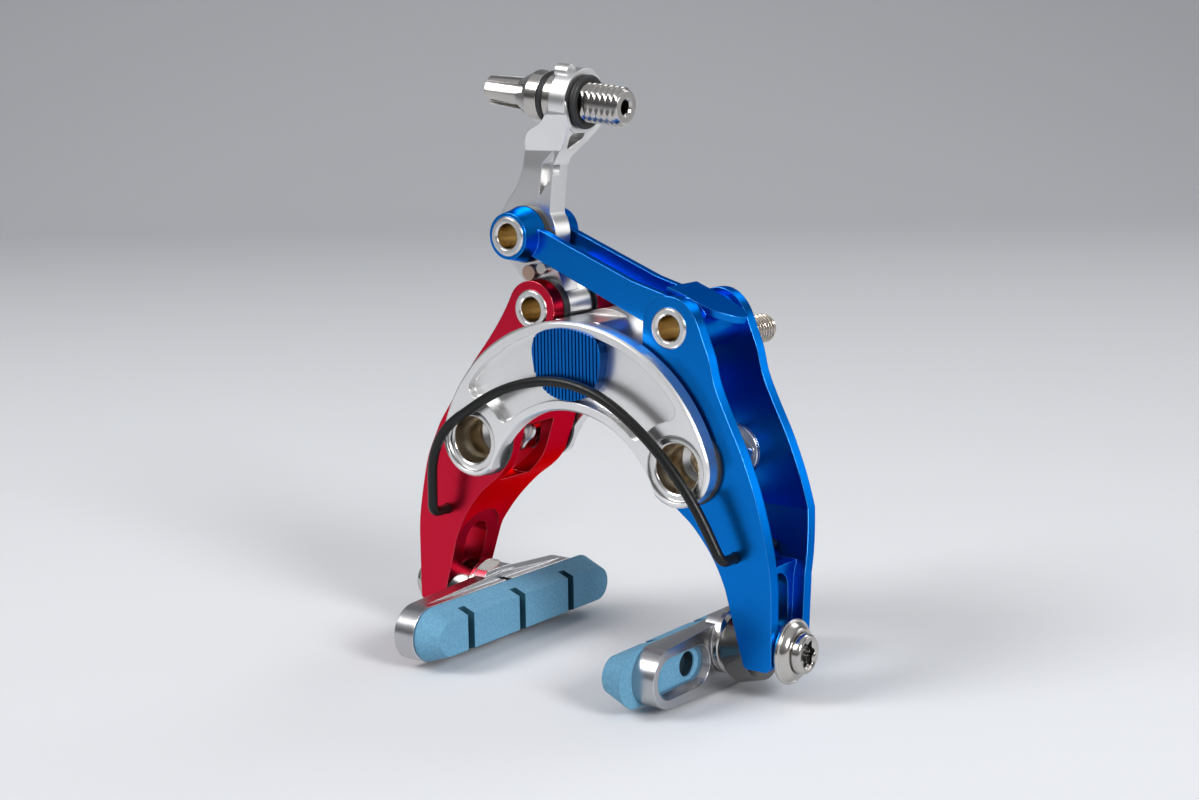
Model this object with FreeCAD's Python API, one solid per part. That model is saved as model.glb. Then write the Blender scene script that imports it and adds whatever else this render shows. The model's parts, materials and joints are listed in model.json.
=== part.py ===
import FreeCAD, Part
import math
import os

# Caliper brake: two arms on a bridge, closed by a swing lever and a top link.
# Millimetres. X is to the right seen from the front, Y points to the rear along
# the mounting stud, Z is up. The origin is on the stud axis at the mounting face.

os.makedirs("parts", exist_ok=True)
V = FreeCAD.Vector

# Places of the pivots, seen from the front
pivot_x = 23.4
pivot_z = -15.0
left_knee = (-11.2, 10.2)
right_knee = (19.6, 9.0)
elbow = (-15.9, 23.5)

# Depths of the layers, from the front to the mounting face
bridge_t = 3.2
thrust_t = 0.7
side_gap = 0.05
arm_depth = 18.0
mount_plate_t = 2.8
mount_pad_t = 0.5

# Bridge
lobe_r = 7.0
bridge_drop = 7.3
arch_z = -27.0
arch_wall = 0.4
rim_w = 1.8
pocket_depth = 1.9
core_r = 10.2
collar_r = 13.5
mount_pad_r = 9.0
knee_relief = 0.8
badge_lift = 0.5
badge_half = [(0.0, 8.0), (4.2, 7.5), (7.2, 5.9), (7.7, 2.6), (6.9, -1.2), (4.2, -4.1), (0.0, -5.1)]
pocket_corner_r = 2.0

# Mounting stud
stud_r = 3.0
stud_len = 41.3
stud_root_r = 3.6
stud_grip = 18.0
stud_tip = 0.8

# Pivot axles
axle_r = 5.0
axle_lip_r = 6.0
axle_lip_t = 1.0
axle_inset = 0.4
axle_mouth_r = 4.4
axle_mouth_depth = 9.0
axle_bore_r = 2.6
thrust_r = 7.3
nut_across = 10.0
nut_t = 3.0
nut_from_plate = 3.0
nut_disc_r = 6.9
nut_disc_t = 1.3

# Link pins
pin_r = 3.7
pin_bore_r = 2.3
pin_proud = 0.4
run_gap = 0.05
elbow_gap = 0.3

# Arms
plate_t = 2.4
web_t = 2.6
pivot_window_r = 8.8
pivot_window_depth = 8.6
ear_left_r = 5.3
ear_right_r = 5.6
ear_left_t = 3.0
knee_back_washer_t = 0.55
rib_drop = 17.5
foot_depth = 13.7
foot_tip_depth = 12.5
taper_drop = (9.0, 20.0, 36.0)
foot_web_x = 14.9
foot_drop = 35.0

# Pads, their bolts and washers
bolt_r = 3.0
bolt_drop = 32.4
slot_up = 10.6
seat_r = 6.2
bolt_from_front = 6.3
flange_r = 5.9
flange_t = 2.3
bolt_head_r = 3.6
bolt_head_t = 1.6
star_r = 2.1
star_depth = 1.3
dome_r = 9.5
dome_edge_r = 6.2
cup_r = 6.3
cup_t = 4.3
pad_face_x = 18.4
pad_t = 5.0
pad_z = -49.8
pad_h = 10.4
pad_face_h = 6.8
pad_len = 55.0
pad_end_taper = 1.8
pad_shift = 0.1
groove_w = 1.7
groove_depth = 2.4
groove_pitch = 15.2
groove_shift = 1.8
holder_t = 4.6
holder_lip = 0.9
holder_extra = 0.35
holder_open = 3.6
holder_boss_t = 0.4
holder_flare = 1.25
holder_boss_r = 6.0
holder_rim = 1.4
holder_slope = 0.9
holder_dish = 1.5
dish_clear = 6.3
key_r = 2.3
key_in = 4.0

# Swing lever
lever_from_front = 5.05
blade_t = 4.4
barrel_len = 7.4
barrel_r = 4.9
elbow_boss_r = 6.8
eye_x = -5.6
eye_z = 48.0
eye_r = 6.0
eye_w = 3.6
eye_tilt = 6.0
spot_gap = 0.35
lug_r = 1.4
lug_reach = 5.7
lug_len = 2.8
lug_shift = 0.7
lug_turn = -25.0
window_corner_r = 0.7
plate_chamfer = 0.4
lever_left_edge = [(-15.9, 9.4), (-16.8, 14.4), (-20.0, 18.0), (-22.4, 21.6), (-22.6, 25.6), (-20.4, 29.5),
                   (-18.4, 31.9), (-17.2, 34.2), (-16.3, 37.2)]
lever_right_edge = [(-9.3, 37.2), (-9.9, 32.0), (-10.4, 27.0), (-10.0, 21.0), (-8.2, 15.6), (-6.5, 9.4)]
neck_left_edge = [(-16.3, 36.4), (-15.7, 39.8), (-14.2, 42.2), (-11.4, 43.6), (-8.9, 45.2), (-7.5, 48.0)]
neck_right_edge = [(-3.7, 48.0), (-4.0, 44.0), (-5.7, 41.2), (-8.0, 38.6), (-9.2, 36.4)]
neck_inset = 0.3
neck_low_z = 30.0
neck_back_z = 37.4
neck_front_z = 39.0
neck_wide_z = 43.6
neck_crown_z = 45.6
neck_window = [(-2.9, 42.2), (3.1, 42.2), (-0.4, 39.0)]
neck_notch = [(-12.0, 36.6), (-9.0, 39.2), (-9.6, 34.6), (-12.9, 30.6)]
notch_depth = 2.0

# Top link
link_boss_r = 5.2
link_boss_tip_r = 4.3
link_boss_t = 4.7
link_barrel_r = 4.9
elbow_washer_t = 0.95
elbow_washer_r = 5.3
knee_washer_r = 5.5
link_wall = [(0.0, 2.9), (0.0, -2.3)]
link_wall_end = [(0.0, -2.4), (3.0, 0.0), (1.0, 4.4), (-5.0, 4.0), (-12.0, 3.2)]
tab_t = 1.3
tab_lift = 3.7
tab_outline = [(-5.5, -4.8), (0.0, -4.4), (5.2, -3.3), (6.9, -1.8), (8.2, 0.6), (8.0, 2.0), (6.9, 3.1), (3.7, 4.3),
               (-1.0, 4.6), (-5.5, 4.5)]

# Cable adjuster
thread_r = 3.6
thread_len = 8.2
sleeve_r = 3.85
cable_r = 1.3
ring_r = 4.95
ring_wire = 0.65
grip_len = 14.6
grip_tip_r = 2.7
grip_neck_r = 3.1
grip_base_len = 2.6
grip_neck_at = 6.0
grip_base_r = 4.8
grip_flutes = 5
collar_len = 2.7
flute_w = 1.7
flute_floor_r = 2.0
flute_from = 3.6
thread_flat = 3.0

# Return spring
wire_r = 0.95
wire_hole_gap = 0.08
wire_gap = 0.3
spring_hole = (9.8, -15.3)
spring_tail = 12.5
hook_lean = 1.5
spring_hook_r = 1.8
spring_corners = [(-31.5, -14.8), (-13.9, -3.6), (3.7, 0.0), (24.6, -13.0)]
spring_bends = [16.0, 39.0, 26.0, 49.0]

# Planes that follow from the layers
front_y = -(bridge_t + 2 * (thrust_t + side_gap) + arm_depth + mount_plate_t + mount_pad_t)
bridge_back = front_y + bridge_t
arm_front = bridge_back + thrust_t + side_gap
arm_back = arm_front + arm_depth
plate_front = arm_back + side_gap + thrust_t
lever_front = arm_front + lever_from_front
lever_mid = lever_front + blade_t / 2
bolt_y = arm_front + bolt_from_front
bolt_z = pivot_z - bolt_drop
arch_r = math.hypot(pivot_x, pivot_z - arch_z) - axle_lip_r - arch_wall
knee_back_y = lever_front + barrel_len + side_gap + knee_back_washer_t
EPS = 0.01


def point(p, y):
    return V(p[0], y, p[1])


def line(p, q, y):
    return Part.makeLine(point(p, y), point(q, y))


def curve(points, y):
    spline = Part.BSplineCurve()
    spline.interpolate([point(p, y) for p in points])
    return spline.toShape()


def arc(p, middle, q, y):
    return Part.Arc(point(p, y), point(middle, y), point(q, y)).toShape()


def on_circle(centre, r, degrees):
    a = math.radians(degrees)
    return (centre[0] + r * math.cos(a), centre[1] + r * math.sin(a))


def prism(edges, depth):
    """Solid from a closed run of edges in a plane of constant Y."""
    wire = Part.Wire(Part.__sortEdges__(edges))
    return Part.Face(wire).extrude(V(0, depth, 0))


def block(points, y0, y1):
    """Straight-sided solid from an outline seen from the front."""
    loop = [point(p, y0) for p in points]
    return Part.Face(Part.makePolygon(loop + loop[:1])).extrude(V(0, y1 - y0, 0))


def side_block(points, x0, x1):
    """Straight-sided solid from an outline in (y, z), seen from the side."""
    loop = [V(x0, p[0], p[1]) for p in points]
    return Part.Face(Part.makePolygon(loop + loop[:1])).extrude(V(x1 - x0, 0, 0))


def rod(centre, r, y0, y1):
    return Part.makeCylinder(r, y1 - y0, point(centre, y0), V(0, 1, 0))


def cone(centre, r0, r1, y0, y1):
    return Part.makeCone(r0, r1, y1 - y0, point(centre, y0), V(0, 1, 0))


def tube(centre, r, bore, y0, y1):
    return rod(centre, r, y0, y1).cut(rod(centre, bore, y0 - 1, y1 + 1))


def cross_rod(y, z, r, x0, x1):
    return Part.makeCylinder(r, x1 - x0, V(x0, y, z), V(1, 0, 0))


def fuse(shapes):
    whole = shapes[0].multiFuse(shapes[1:])
    return whole.removeSplitter()


def front_chamfer(shape, y):
    """Breaks the edges that lie in the front plane at y."""
    edges = [e for e in shape.Edges if e.BoundBox.YMax < y + EPS and e.BoundBox.YMin > y - EPS]
    return shape.makeChamfer(plate_chamfer, edges)


def flip(shape, side):
    """A right-hand piece for side 1, its mirror image for side -1."""
    if side > 0:
        return shape
    return shape.mirror(V(0, 0, 0), V(1, 0, 0))


def half_turn(shape, side):
    """A right-hand piece for side 1, turned half round about the upright line at the bolts for side -1."""
    if side > 0:
        return shape
    turned = shape.copy()
    turned.rotate(V(0, bolt_y, 0), V(0, 0, 1), 180)
    return turned


def flip_points(points, side):
    return [(side * p[0], p[1]) for p in points]


def offset_run(points, distance):
    """A run of points moved sideways, to the left of its direction."""
    out = []
    for i, p in enumerate(points):
        a = points[max(i - 1, 0)]
        b = points[min(i + 1, len(points) - 1)]
        size = math.hypot(b[0] - a[0], b[1] - a[1])
        nx = -(b[1] - a[1]) / size
        nz = (b[0] - a[0]) / size
        out.append((p[0] + distance * nx, p[1] + distance * nz))
    return out


def pivot(side):
    return (side * pivot_x, pivot_z)


# Bridge: crescent plates, core, badge, stud


def circles_meet(c1, r1, c2, r2, lower):
    """The lower or upper crossing of two circles."""
    dx = c2[0] - c1[0]
    dz = c2[1] - c1[1]
    d = math.hypot(dx, dz)
    a = (r1 * r1 - r2 * r2 + d * d) / (2 * d)
    h = math.sqrt(max(r1 * r1 - a * a, 0.0))
    mx = c1[0] + a * dx / d
    mz = c1[1] + a * dz / d
    one = (mx + h * dz / d, mz - h * dx / d)
    two = (mx - h * dz / d, mz + h * dx / d)
    if (one[1] < two[1]) == lower:
        return one
    return two


def crescent(y, depth, inset):
    """The bridge outline: an outer arc, two lobes and the arch below."""
    centre = (0.0, pivot_z - bridge_drop)
    p = pivot(1)
    reach = math.hypot(p[0], p[1] - centre[1])
    lobe = lobe_r - inset
    outer = reach + lobe
    up = math.degrees(math.atan2(p[1] - centre[1], p[0]))
    shoulder = on_circle(p, lobe, up)
    inner = (0.0, arch_z)
    inner_r = arch_r + inset
    foot = circles_meet(inner, inner_r, p, lobe, True)
    if foot[0] > p[0]:
        foot = circles_meet(inner, inner_r, p, lobe, False)
    edges = [arc(flip_points([shoulder], -1)[0], (0, centre[1] + outer), shoulder, y)]
    edges.append(arc(shoulder, on_circle(p, lobe, -73), foot, y))
    edges.append(arc(foot, (0, arch_z + inner_r), flip_points([foot], -1)[0], y))
    left = on_circle(p, lobe, -73)
    edges.append(arc((-foot[0], foot[1]), (-left[0], left[1]), (-shoulder[0], shoulder[1]), y))
    return prism(edges, depth)


def badge_outline():
    return badge_half + [(-x, z) for x, z in badge_half[-2:0:-1]]


def badge_solid(y0, y1):
    spline = Part.BSplineCurve()
    spline.interpolate([point(p, y0) for p in badge_outline()], PeriodicFlag=True)
    return prism([spline.toShape()], y1 - y0)


def bridge_front():
    plate = front_chamfer(crescent(front_y, bridge_t, 0.0), front_y)
    floor_y = front_y + pocket_depth
    pocket = crescent(front_y - 1, pocket_depth + 1, rim_w)
    for side in (1, -1):
        pocket = pocket.cut(rod(pivot(side), lobe_r + 1.4, front_y - 2, floor_y + 1))
    upright = [e for e in pocket.Edges if abs(e.Vertexes[0].Y - e.Vertexes[-1].Y) > pocket_depth]
    pocket = pocket.makeFillet(pocket_corner_r, upright)
    plate = plate.cut(pocket)
    plate = plate.cut(badge_solid(front_y - 1, floor_y))
    for side in (1, -1):
        plate = plate.cut(rod(pivot(side), axle_r, front_y - 1, bridge_back + 1))
        lip = axle_inset + axle_lip_t
        plate = plate.cut(rod(pivot(side), axle_lip_r, front_y - 1, front_y + lip))
    return plate.removeSplitter()


def knee_pocket():
    """Room in the core for the left arm's ears and the lever's barrel."""
    r = max(knee_washer_r, ear_left_r) + knee_relief
    return rod(left_knee, r, bridge_back, plate_front)


def bridge_core():
    core = rod((0, 0), core_r, bridge_back, plate_front + EPS)
    flat = block([(-30, core_r - 1.2), (30, core_r - 1.2), (30, 40), (-30, 40)],
                 bridge_back - 1, bridge_back + 9)
    core = core.cut(flat).cut(knee_pocket())
    core = core.cut(rod((0, arch_z), arch_r, bridge_back - 1, plate_front + 1))
    plate = crescent(plate_front, mount_plate_t, 0.0)
    collar = rod((0, 0), collar_r, plate_front, plate_front + mount_plate_t)
    collar = collar.cut(rod((0, arch_z), arch_r, plate_front - 1, 1.0))
    pad = rod((0, 0), mount_pad_r, plate_front + mount_plate_t - EPS, 0.0)
    body = fuse([core, plate, collar, pad])
    for side in (1, -1):
        body = body.cut(rod(pivot(side), axle_r, plate_front - 1, 1.0))
    return body.cut(rod((0, 0), stud_root_r, -stud_grip, 1.0))


def mounting_stud():
    root = rod((0, 0), stud_root_r, -stud_grip, 0.0)
    shank = rod((0, 0), stud_r, 0.0, stud_len - stud_tip)
    tip = cone((0, 0), stud_r, stud_r - stud_tip, stud_len - stud_tip, stud_len)
    return fuse([root, shank, tip])


def badge():
    return badge_solid(front_y - badge_lift, front_y + pocket_depth)


# Pivots


def pivot_axle(side):
    c = pivot(side)
    head_y = front_y + axle_inset
    back_y = plate_front + mount_plate_t
    body = rod(c, axle_r, head_y, back_y)
    body = body.fuse(rod(c, axle_lip_r, head_y, head_y + axle_lip_t))
    body = body.cut(rod(c, axle_mouth_r, head_y - 1, head_y + axle_mouth_depth))
    return body.cut(rod(c, axle_bore_r, head_y, back_y + 1)).removeSplitter()


def pivot_nut(side):
    c = pivot(side)
    y0 = arm_front + plate_t + nut_from_plate
    corner = nut_across / math.sqrt(3)
    hexagon = block([on_circle(c, corner, 60 * i + 15) for i in range(6)], y0, y0 + nut_t)
    disc = rod(c, nut_disc_r, y0 + nut_t, y0 + nut_t + nut_disc_t)
    return fuse([hexagon, disc]).cut(rod(c, axle_r, y0 - 1, y0 + nut_t + nut_disc_t + 1))


def thrust_washers():
    rings = []
    for side in (1, -1):
        for y in (bridge_back, plate_front - thrust_t):
            rings.append(tube(pivot(side), thrust_r, axle_r, y, y + thrust_t))
    return Part.makeCompound(rings)


# Arms. The lists are offsets from the arm's own pivot, outward and upward.

arm_outer = [(15.8, -11.2), (16.8, -16.5), (17.2, -22.0)]
arm_inner = [(7.8, -21.4), (6.4, -18.2), (4.7, -15.3), (2.6, -12.6), (0.4, -10.3), (-2.2, -8.3), (-5.2, -5.2)]
seat_foot = (11.5, -34.5)
right_shoulder = [(1.8, 25.8), (3.2, 22.4), (4.5, 19.1), (5.3, 15.7), (6.6, 12.3), (8.6, 8.2), (10.7, 4.0),
                  (12.1, 0.7), (13.4, -2.7), (14.7, -6.9)]
right_flank = [(-7.6, 0.0), (-8.7, 6.5), (-9.4, 14.0)]
left_shoulder = [(-4.5, 22.6), (-1.0, 18.0), (2.4, 13.9), (5.7, 9.4), (8.7, 5.0), (10.8, 2.0), (12.4, -1.1),
                 (13.9, -4.2), (15.0, -7.6)]
left_flank = [(-7.4, 0.0), (-9.4, 6.0), (-11.0, 12.0), (-11.9, 17.4)]


def from_pivot(offsets, side):
    return [(side * (pivot_x + dx), pivot_z + dz) for dx, dz in offsets]


def arm_edges(side):
    """Outer run from the ear down, and inner run from the foot up."""
    if side > 0:
        knee = right_knee
        ear_r = ear_right_r
        ear_out = on_circle(knee, ear_r, 44)
        ear_in = on_circle(knee, ear_r, 180)
        outer = [ear_out] + from_pivot(right_shoulder + arm_outer, 1)
        inner = from_pivot(arm_inner + right_flank, 1) + [ear_in]
        top = on_circle(knee, ear_r, 100)
    else:
        knee = left_knee
        ear_r = ear_left_r
        ear_out = on_circle(knee, ear_r, 150)
        ear_in = on_circle(knee, ear_r, -60)
        outer = [ear_out] + from_pivot(left_shoulder + arm_outer, -1)
        inner = from_pivot(arm_inner + left_flank, -1) + [ear_in]
        top = on_circle(knee, ear_r, 45)
    return outer, inner, ear_out, top, ear_in


def arm_side_profile(wall):
    """The arm seen from the side: deep at the pivots, tapered to the foot."""
    y0 = arm_front + wall
    high = 60.0
    return [(y0, high), (arm_back - wall, high), (arm_back - wall, pivot_z - taper_drop[0]),
            (arm_front + foot_depth - wall, pivot_z - taper_drop[1]),
            (arm_front + foot_tip_depth - wall, pivot_z - taper_drop[2]), (y0, pivot_z - taper_drop[2])]


def arm(side):
    outer, inner, ear_out, top, ear_in = arm_edges(side)
    x_out = side * (pivot_x + arm_outer[-1][0])
    z_foot = pivot_z - foot_drop
    toe = from_pivot([seat_foot], side)[0]
    edges = [curve(outer, arm_front)]
    edges.append(line(outer[-1], (x_out, z_foot + 1.0), arm_front))
    edges.append(line((x_out, z_foot + 1.0), (x_out - side * 1.0, z_foot), arm_front))
    edges.append(line((x_out - side * 1.0, z_foot), (toe[0] + side * 0.6, z_foot), arm_front))
    edges.append(line((toe[0] + side * 0.6, z_foot), toe, arm_front))
    edges.append(line(toe, inner[0], arm_front))
    edges.append(curve(inner, arm_front))
    edges.append(arc(ear_in, top, ear_out, arm_front))
    body = prism(edges, arm_depth)
    far = 80.0
    body = body.common(side_block(arm_side_profile(0.0), -far, far))
    body = body.cut(arm_channel(side, inner))
    return arm_details(body, side)


def arm_channel(side, inner):
    """The hollow between the plates, open outward, with a web on the inner side."""
    web = offset_run(inner[:-1], -side * web_t)
    rib_z = pivot_z - rib_drop
    web = [p for p in web if p[1] > rib_z + 1.0]
    far = side * 80.0
    foot_x = side * (pivot_x + foot_web_x)
    run = [(far, 60.0), (far, -80.0), (foot_x, -80.0), (foot_x, rib_z)]
    start = (web[0][0], rib_z)
    y0 = arm_front
    edges = [line(run[i], run[i + 1], y0) for i in range(3)]
    edges.append(line(run[3], start, y0))
    edges.append(line(start, web[0], y0))
    edges.append(curve(web, y0))
    gate = (0.0, web[-1][1])
    edges.append(line(web[-1], gate, y0))
    edges.append(line(gate, (0.0, 60.0), y0))
    edges.append(line((0.0, 60.0), run[0], y0))
    hollow = prism(edges, arm_depth)
    return hollow.common(side_block(arm_side_profile(plate_t), -90.0, 90.0))


def arm_details(body, side):
    c = pivot(side)
    inside = arm_front + plate_t
    body = body.cut(rod(c, pivot_window_r, inside, inside + pivot_window_depth))
    body = body.cut(rod(c, axle_r + run_gap, arm_front - 1, arm_back + 1))
    knee = right_knee if side > 0 else left_knee
    if side < 0:
        front = rod(knee, ear_left_r, arm_front, arm_front + ear_left_t)
        back = rod(knee, ear_left_r, knee_back_y, arm_back)
        body = fuse([body, front, back])
    body = body.cut(rod(knee, pin_r, arm_front - 1, arm_back + 1))
    hole = from_pivot([spring_hole], side)[0]
    body = body.cut(rod(hole, wire_r + wire_hole_gap, arm_front - 1, arm_front + plate_t + 1))
    slot_r = bolt_r + run_gap
    x0 = side * (pivot_x + 2)
    x1 = side * (pivot_x + 30)
    low = min(x0, x1)
    high = max(x0, x1)
    slot = [cross_rod(bolt_y, bolt_z, slot_r, low, high)]
    slot.append(cross_rod(bolt_y, bolt_z + slot_up, slot_r, low, high))
    slot.append(side_block([(bolt_y - slot_r, bolt_z), (bolt_y + slot_r, bolt_z),
                            (bolt_y + slot_r, bolt_z + slot_up), (bolt_y - slot_r, bolt_z + slot_up)],
                           low, high))
    return body.cut(fuse(slot)).cut(seat_arch(side))


def seat_arch(side):
    """The round end of the flat that the washers bear on, sunk into the curved web above it."""
    foot = V(pivot_x + seat_foot[0], 0, pivot_z + seat_foot[1])
    head = V(pivot_x + arm_inner[0][0], 0, pivot_z + arm_inner[0][1])
    along = (head - foot).normalize()
    inward = V(-along.z, 0, along.x)
    up = (bolt_z + slot_up - foot.z) / along.z
    centre = foot + along * up + V(0, bolt_y, 0)
    return flip(Part.makeCylinder(seat_r, 9.0, centre, inward), side)


def hollow_pin(centre, y0, y1):
    return tube(centre, pin_r, pin_bore_r, y0 - pin_proud, y1 + pin_proud)


def left_knee_washers():
    start = arm_front + ear_left_t
    gap = lever_front - side_gap - start
    rings = []
    for i in range(2):
        y = start + gap / 2 * i
        rings.append(tube(left_knee, knee_washer_r - 0.25 * i, pin_r, y, y + gap / 2))
    rings.append(tube(left_knee, knee_washer_r, pin_r, knee_back_y - knee_back_washer_t, knee_back_y))
    return Part.makeCompound(rings)


# Swing lever


def lever_blade():
    edges = [curve(lever_left_edge, lever_front), curve(lever_right_edge, lever_front)]
    edges.append(line(lever_left_edge[-1], lever_right_edge[0], lever_front))
    edges.append(line(lever_right_edge[-1], lever_left_edge[0], lever_front))
    return prism(edges, blade_t)


def eye_rod(r, u0, u1):
    """A round bar on the eye's axis, from u0 to u1 along it."""
    a = math.radians(eye_tilt)
    d = V(math.cos(a), 0, -math.sin(a))
    return Part.makeCylinder(r, u1 - u0, V(eye_x, lever_mid, eye_z) + d * u0, d)


def lever_stalk():
    """The neck: an outline from the front crossed with an outline from the side."""
    y0 = lever_mid - 20
    edges = [curve(neck_left_edge, y0), line(neck_left_edge[-1], neck_right_edge[0], y0)]
    edges += [curve(neck_right_edge, y0), line(neck_right_edge[-1], neck_left_edge[0], y0)]
    front_view = prism(edges, 40)
    half = blade_t / 2
    m = lever_mid
    wide = eye_r - neck_inset
    side_view = side_block([(m - half, neck_low_z), (m + half, neck_low_z), (m + half, neck_back_z),
                            (m + wide, neck_wide_z), (m + wide, eye_z), (m - wide, eye_z),
                            (m - wide, neck_crown_z), (m - half, neck_front_z)], -40, 20)
    return front_view.common(side_view)


def swing_lever():
    barrel = rod(left_knee, barrel_r, lever_front, lever_front + barrel_len)
    boss = rod(elbow, elbow_boss_r, lever_front, lever_front + blade_t)
    neck = lever_stalk()
    spot_r = ring_r + spot_gap
    for start in (-eye_w / 2 - 12, eye_w / 2):
        neck = neck.cut(eye_rod(spot_r, start, start + 12))
    eye = eye_rod(eye_r, -eye_w / 2, eye_w / 2)
    body = fuse([lever_blade(), barrel, boss, neck, eye, eye_lug()])
    body = body.cut(rod(left_knee, pin_r + run_gap, lever_front - 1, lever_front + barrel_len + 1))
    body = body.cut(rod(elbow, pin_r + elbow_gap, lever_front - 1, lever_front + blade_t + 1))
    body = body.cut(eye_rod(sleeve_r + run_gap, -20, 20))
    window = side_block([(lever_mid + y, z) for y, z in neck_window], -20, 10)
    along = [e for e in window.Edges if abs(e.Vertexes[0].X - e.Vertexes[-1].X) > 1]
    body = body.cut(window.makeFillet(window_corner_r, along))
    body = body.cut(block(neck_notch, lever_front - 8, lever_front + notch_depth))
    for place, r, reach in lever_pin_places():
        body = body.cut(rod(place, r, lever_front - 1, lever_front + reach))
    return body.removeSplitter()


def eye_lug():
    """The small round lug on top of the eye."""
    a = math.radians(eye_tilt)
    d = V(math.cos(a), 0, -math.sin(a))
    up = V(math.sin(a), 0, math.cos(a))
    turn = math.radians(lug_turn)
    out = up * math.cos(turn) + V(0, math.sin(turn), 0)
    middle = V(eye_x, lever_mid, eye_z) + out * lug_reach
    lug = Part.makeCylinder(lug_r, lug_len, middle - d * (eye_w / 2 + lug_shift), d)
    return lug.cut(eye_rod(grip_base_r + spot_gap, -eye_w / 2 - 6, -eye_w / 2))


def lever_pin_places():
    return [((-14.9, 16.4), 1.45, 2.5), ((-11.9, 17.4), 1.1, 2.0)]


def lever_pin(i):
    place, r, reach = lever_pin_places()[i]
    return rod(place, r, lever_front - 1.1, lever_front + reach)


# Top link. Places are (along, across) the line from the elbow to the right knee.


def on_link(along, across):
    dx = right_knee[0] - elbow[0]
    dz = right_knee[1] - elbow[1]
    size = math.hypot(dx, dz)
    ux = dx / size
    uz = dz / size
    return (elbow[0] + along * ux - across * uz, elbow[1] + along * uz + across * ux)


def link_length():
    return math.hypot(right_knee[0] - elbow[0], right_knee[1] - elbow[1])


def top_link():
    span = link_length()
    front = arm_front + plate_t + side_gap
    back = arm_back - plate_t - side_gap
    ear_in = lever_front - side_gap - elbow_washer_t
    rear_in = lever_front + blade_t + side_gap + elbow_washer_t
    wall_t = ear_in - front
    side = [on_link(along, across) for along, across in link_wall]
    side += [on_link(span + along, across) for along, across in link_wall_end]
    pieces = [block(side, front, ear_in), block(side, rear_in, rear_in + wall_t)]
    pieces.append(cone(elbow, link_boss_tip_r, link_boss_r, elbow_pin_ends()[0], ear_in))
    pieces.append(cone(elbow, link_boss_r, link_boss_tip_r, rear_in, elbow_pin_ends()[1]))
    pieces.append(rod(right_knee, link_barrel_r, front, back))
    floor = [on_link(10, -1.2), on_link(span, -1.2), on_link(span, 0.2), on_link(10, 0.2)]
    pieces.append(block(floor, ear_in - 0.5, rear_in + 0.5))
    pieces.append(link_tab(span, front, back))
    body = fuse(pieces)
    body = body.cut(rod(elbow, pin_r, ear_in - 20, rear_in + 20))
    body = body.cut(rod(right_knee, pin_r + run_gap, front - 1, back + 1))
    return body.removeSplitter()


def elbow_pin_ends():
    """Where the link's bosses end in front and behind; the pin stands a little proud of both."""
    front = lever_front - side_gap - elbow_washer_t - link_boss_t
    back = arm_back - plate_t - side_gap - pin_proud
    return front, back


def link_tab(span, front, back):
    """The flat thumb tab, shaped like a leaf, that carries on past the right knee."""
    side = [on_link(span - 5.5, tab_lift - 1.2), on_link(span - 5.5, tab_lift + tab_t),
            on_link(span + 12, tab_lift + tab_t), on_link(span + 12, tab_lift),
            on_link(span + 2, tab_lift), on_link(span + 2, tab_lift - 1.2)]
    plate = block(side, front + 0.4, back - 0.4)
    middle = (front + back) / 2
    corners = [point(on_link(span + along, 0), middle + y) for along, y in tab_outline]
    edge = Part.BSplineCurve()
    edge.interpolate(corners)
    leaf = Part.Face(Part.Wire([edge.toShape(), Part.makeLine(corners[-1], corners[0])]))
    upward = point(on_link(0, 1), 0) - point(on_link(0, 0), 0)
    return plate.common(leaf.extrude(upward * 9))


def elbow_washers():
    rings = []
    for y in (lever_front - side_gap - elbow_washer_t, lever_front + blade_t + side_gap):
        rings.append(tube(elbow, elbow_washer_r, pin_r, y, y + elbow_washer_t))
    return Part.makeCompound(rings)


# Pads. Left and right are the same piece, so the left one is the right one turned half round.


def stadium(y_mid, z_mid, length, height, x):
    """A closed outline in a plane of constant X with round ends."""
    r = height / 2
    a = length / 2 - r
    y0 = y_mid - a
    y1 = y_mid + a
    top = z_mid + r
    low = z_mid - r
    upper = Part.makeLine(V(x, y0, top), V(x, y1, top))
    rear_end = Part.Arc(V(x, y1, top), V(x, y1 + r, z_mid), V(x, y1, low)).toShape()
    lower = Part.makeLine(V(x, y1, low), V(x, y0, low))
    front_end = Part.Arc(V(x, y0, low), V(x, y0 - r, z_mid), V(x, y0, top)).toShape()
    return Part.Wire([upper, rear_end, lower, front_end])


def stadium_solid(y_mid, z_mid, length, height, x0, x1):
    return Part.Face(stadium(y_mid, z_mid, length, height, x0)).extrude(V(x1 - x0, 0, 0))


def pad_mid():
    return bolt_y + pad_shift


def holder_ends():
    """The open end, where the pad slides in, and the closed end."""
    return pad_mid() - pad_len / 2 + holder_open, pad_mid() + pad_len / 2 + holder_extra


def pad_root(x0, x1):
    """The part of the pad that sits inside the holder."""
    low, high = holder_ends()
    return stadium_solid((low + high) / 2, pad_z, high - low - 3 * holder_lip, pad_h - 2 * holder_lip, x0, x1)


def brake_pad(side):
    back_x = pad_face_x + pad_t
    base = stadium(pad_mid(), pad_z, pad_len, pad_h, back_x)
    face = stadium(pad_mid(), pad_z, pad_len - 2 * pad_end_taper, pad_face_h, pad_face_x)
    body = Part.makeLoft([base, face], True, True)
    root = pad_root(back_x - EPS, back_x + holder_t / 2)
    body = body.fuse(root).removeSplitter()
    key_y = holder_bays()[0][1] - key_in
    body = body.cut(cross_rod(key_y, pad_z, key_r, back_x + 0.2, back_x + holder_t))
    for i in (-1, 0, 1):
        y = pad_mid() + groove_shift + groove_pitch * i
        floor = pad_face_x + groove_depth
        cut = side_block([(y - groove_w / 2, pad_z - pad_h), (y + groove_w / 2, pad_z - pad_h),
                          (y + groove_w / 2, pad_z + pad_h), (y - groove_w / 2, pad_z + pad_h)],
                         pad_face_x - 1, floor)
        body = body.cut(cut)
    return half_turn(body, side)


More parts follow.
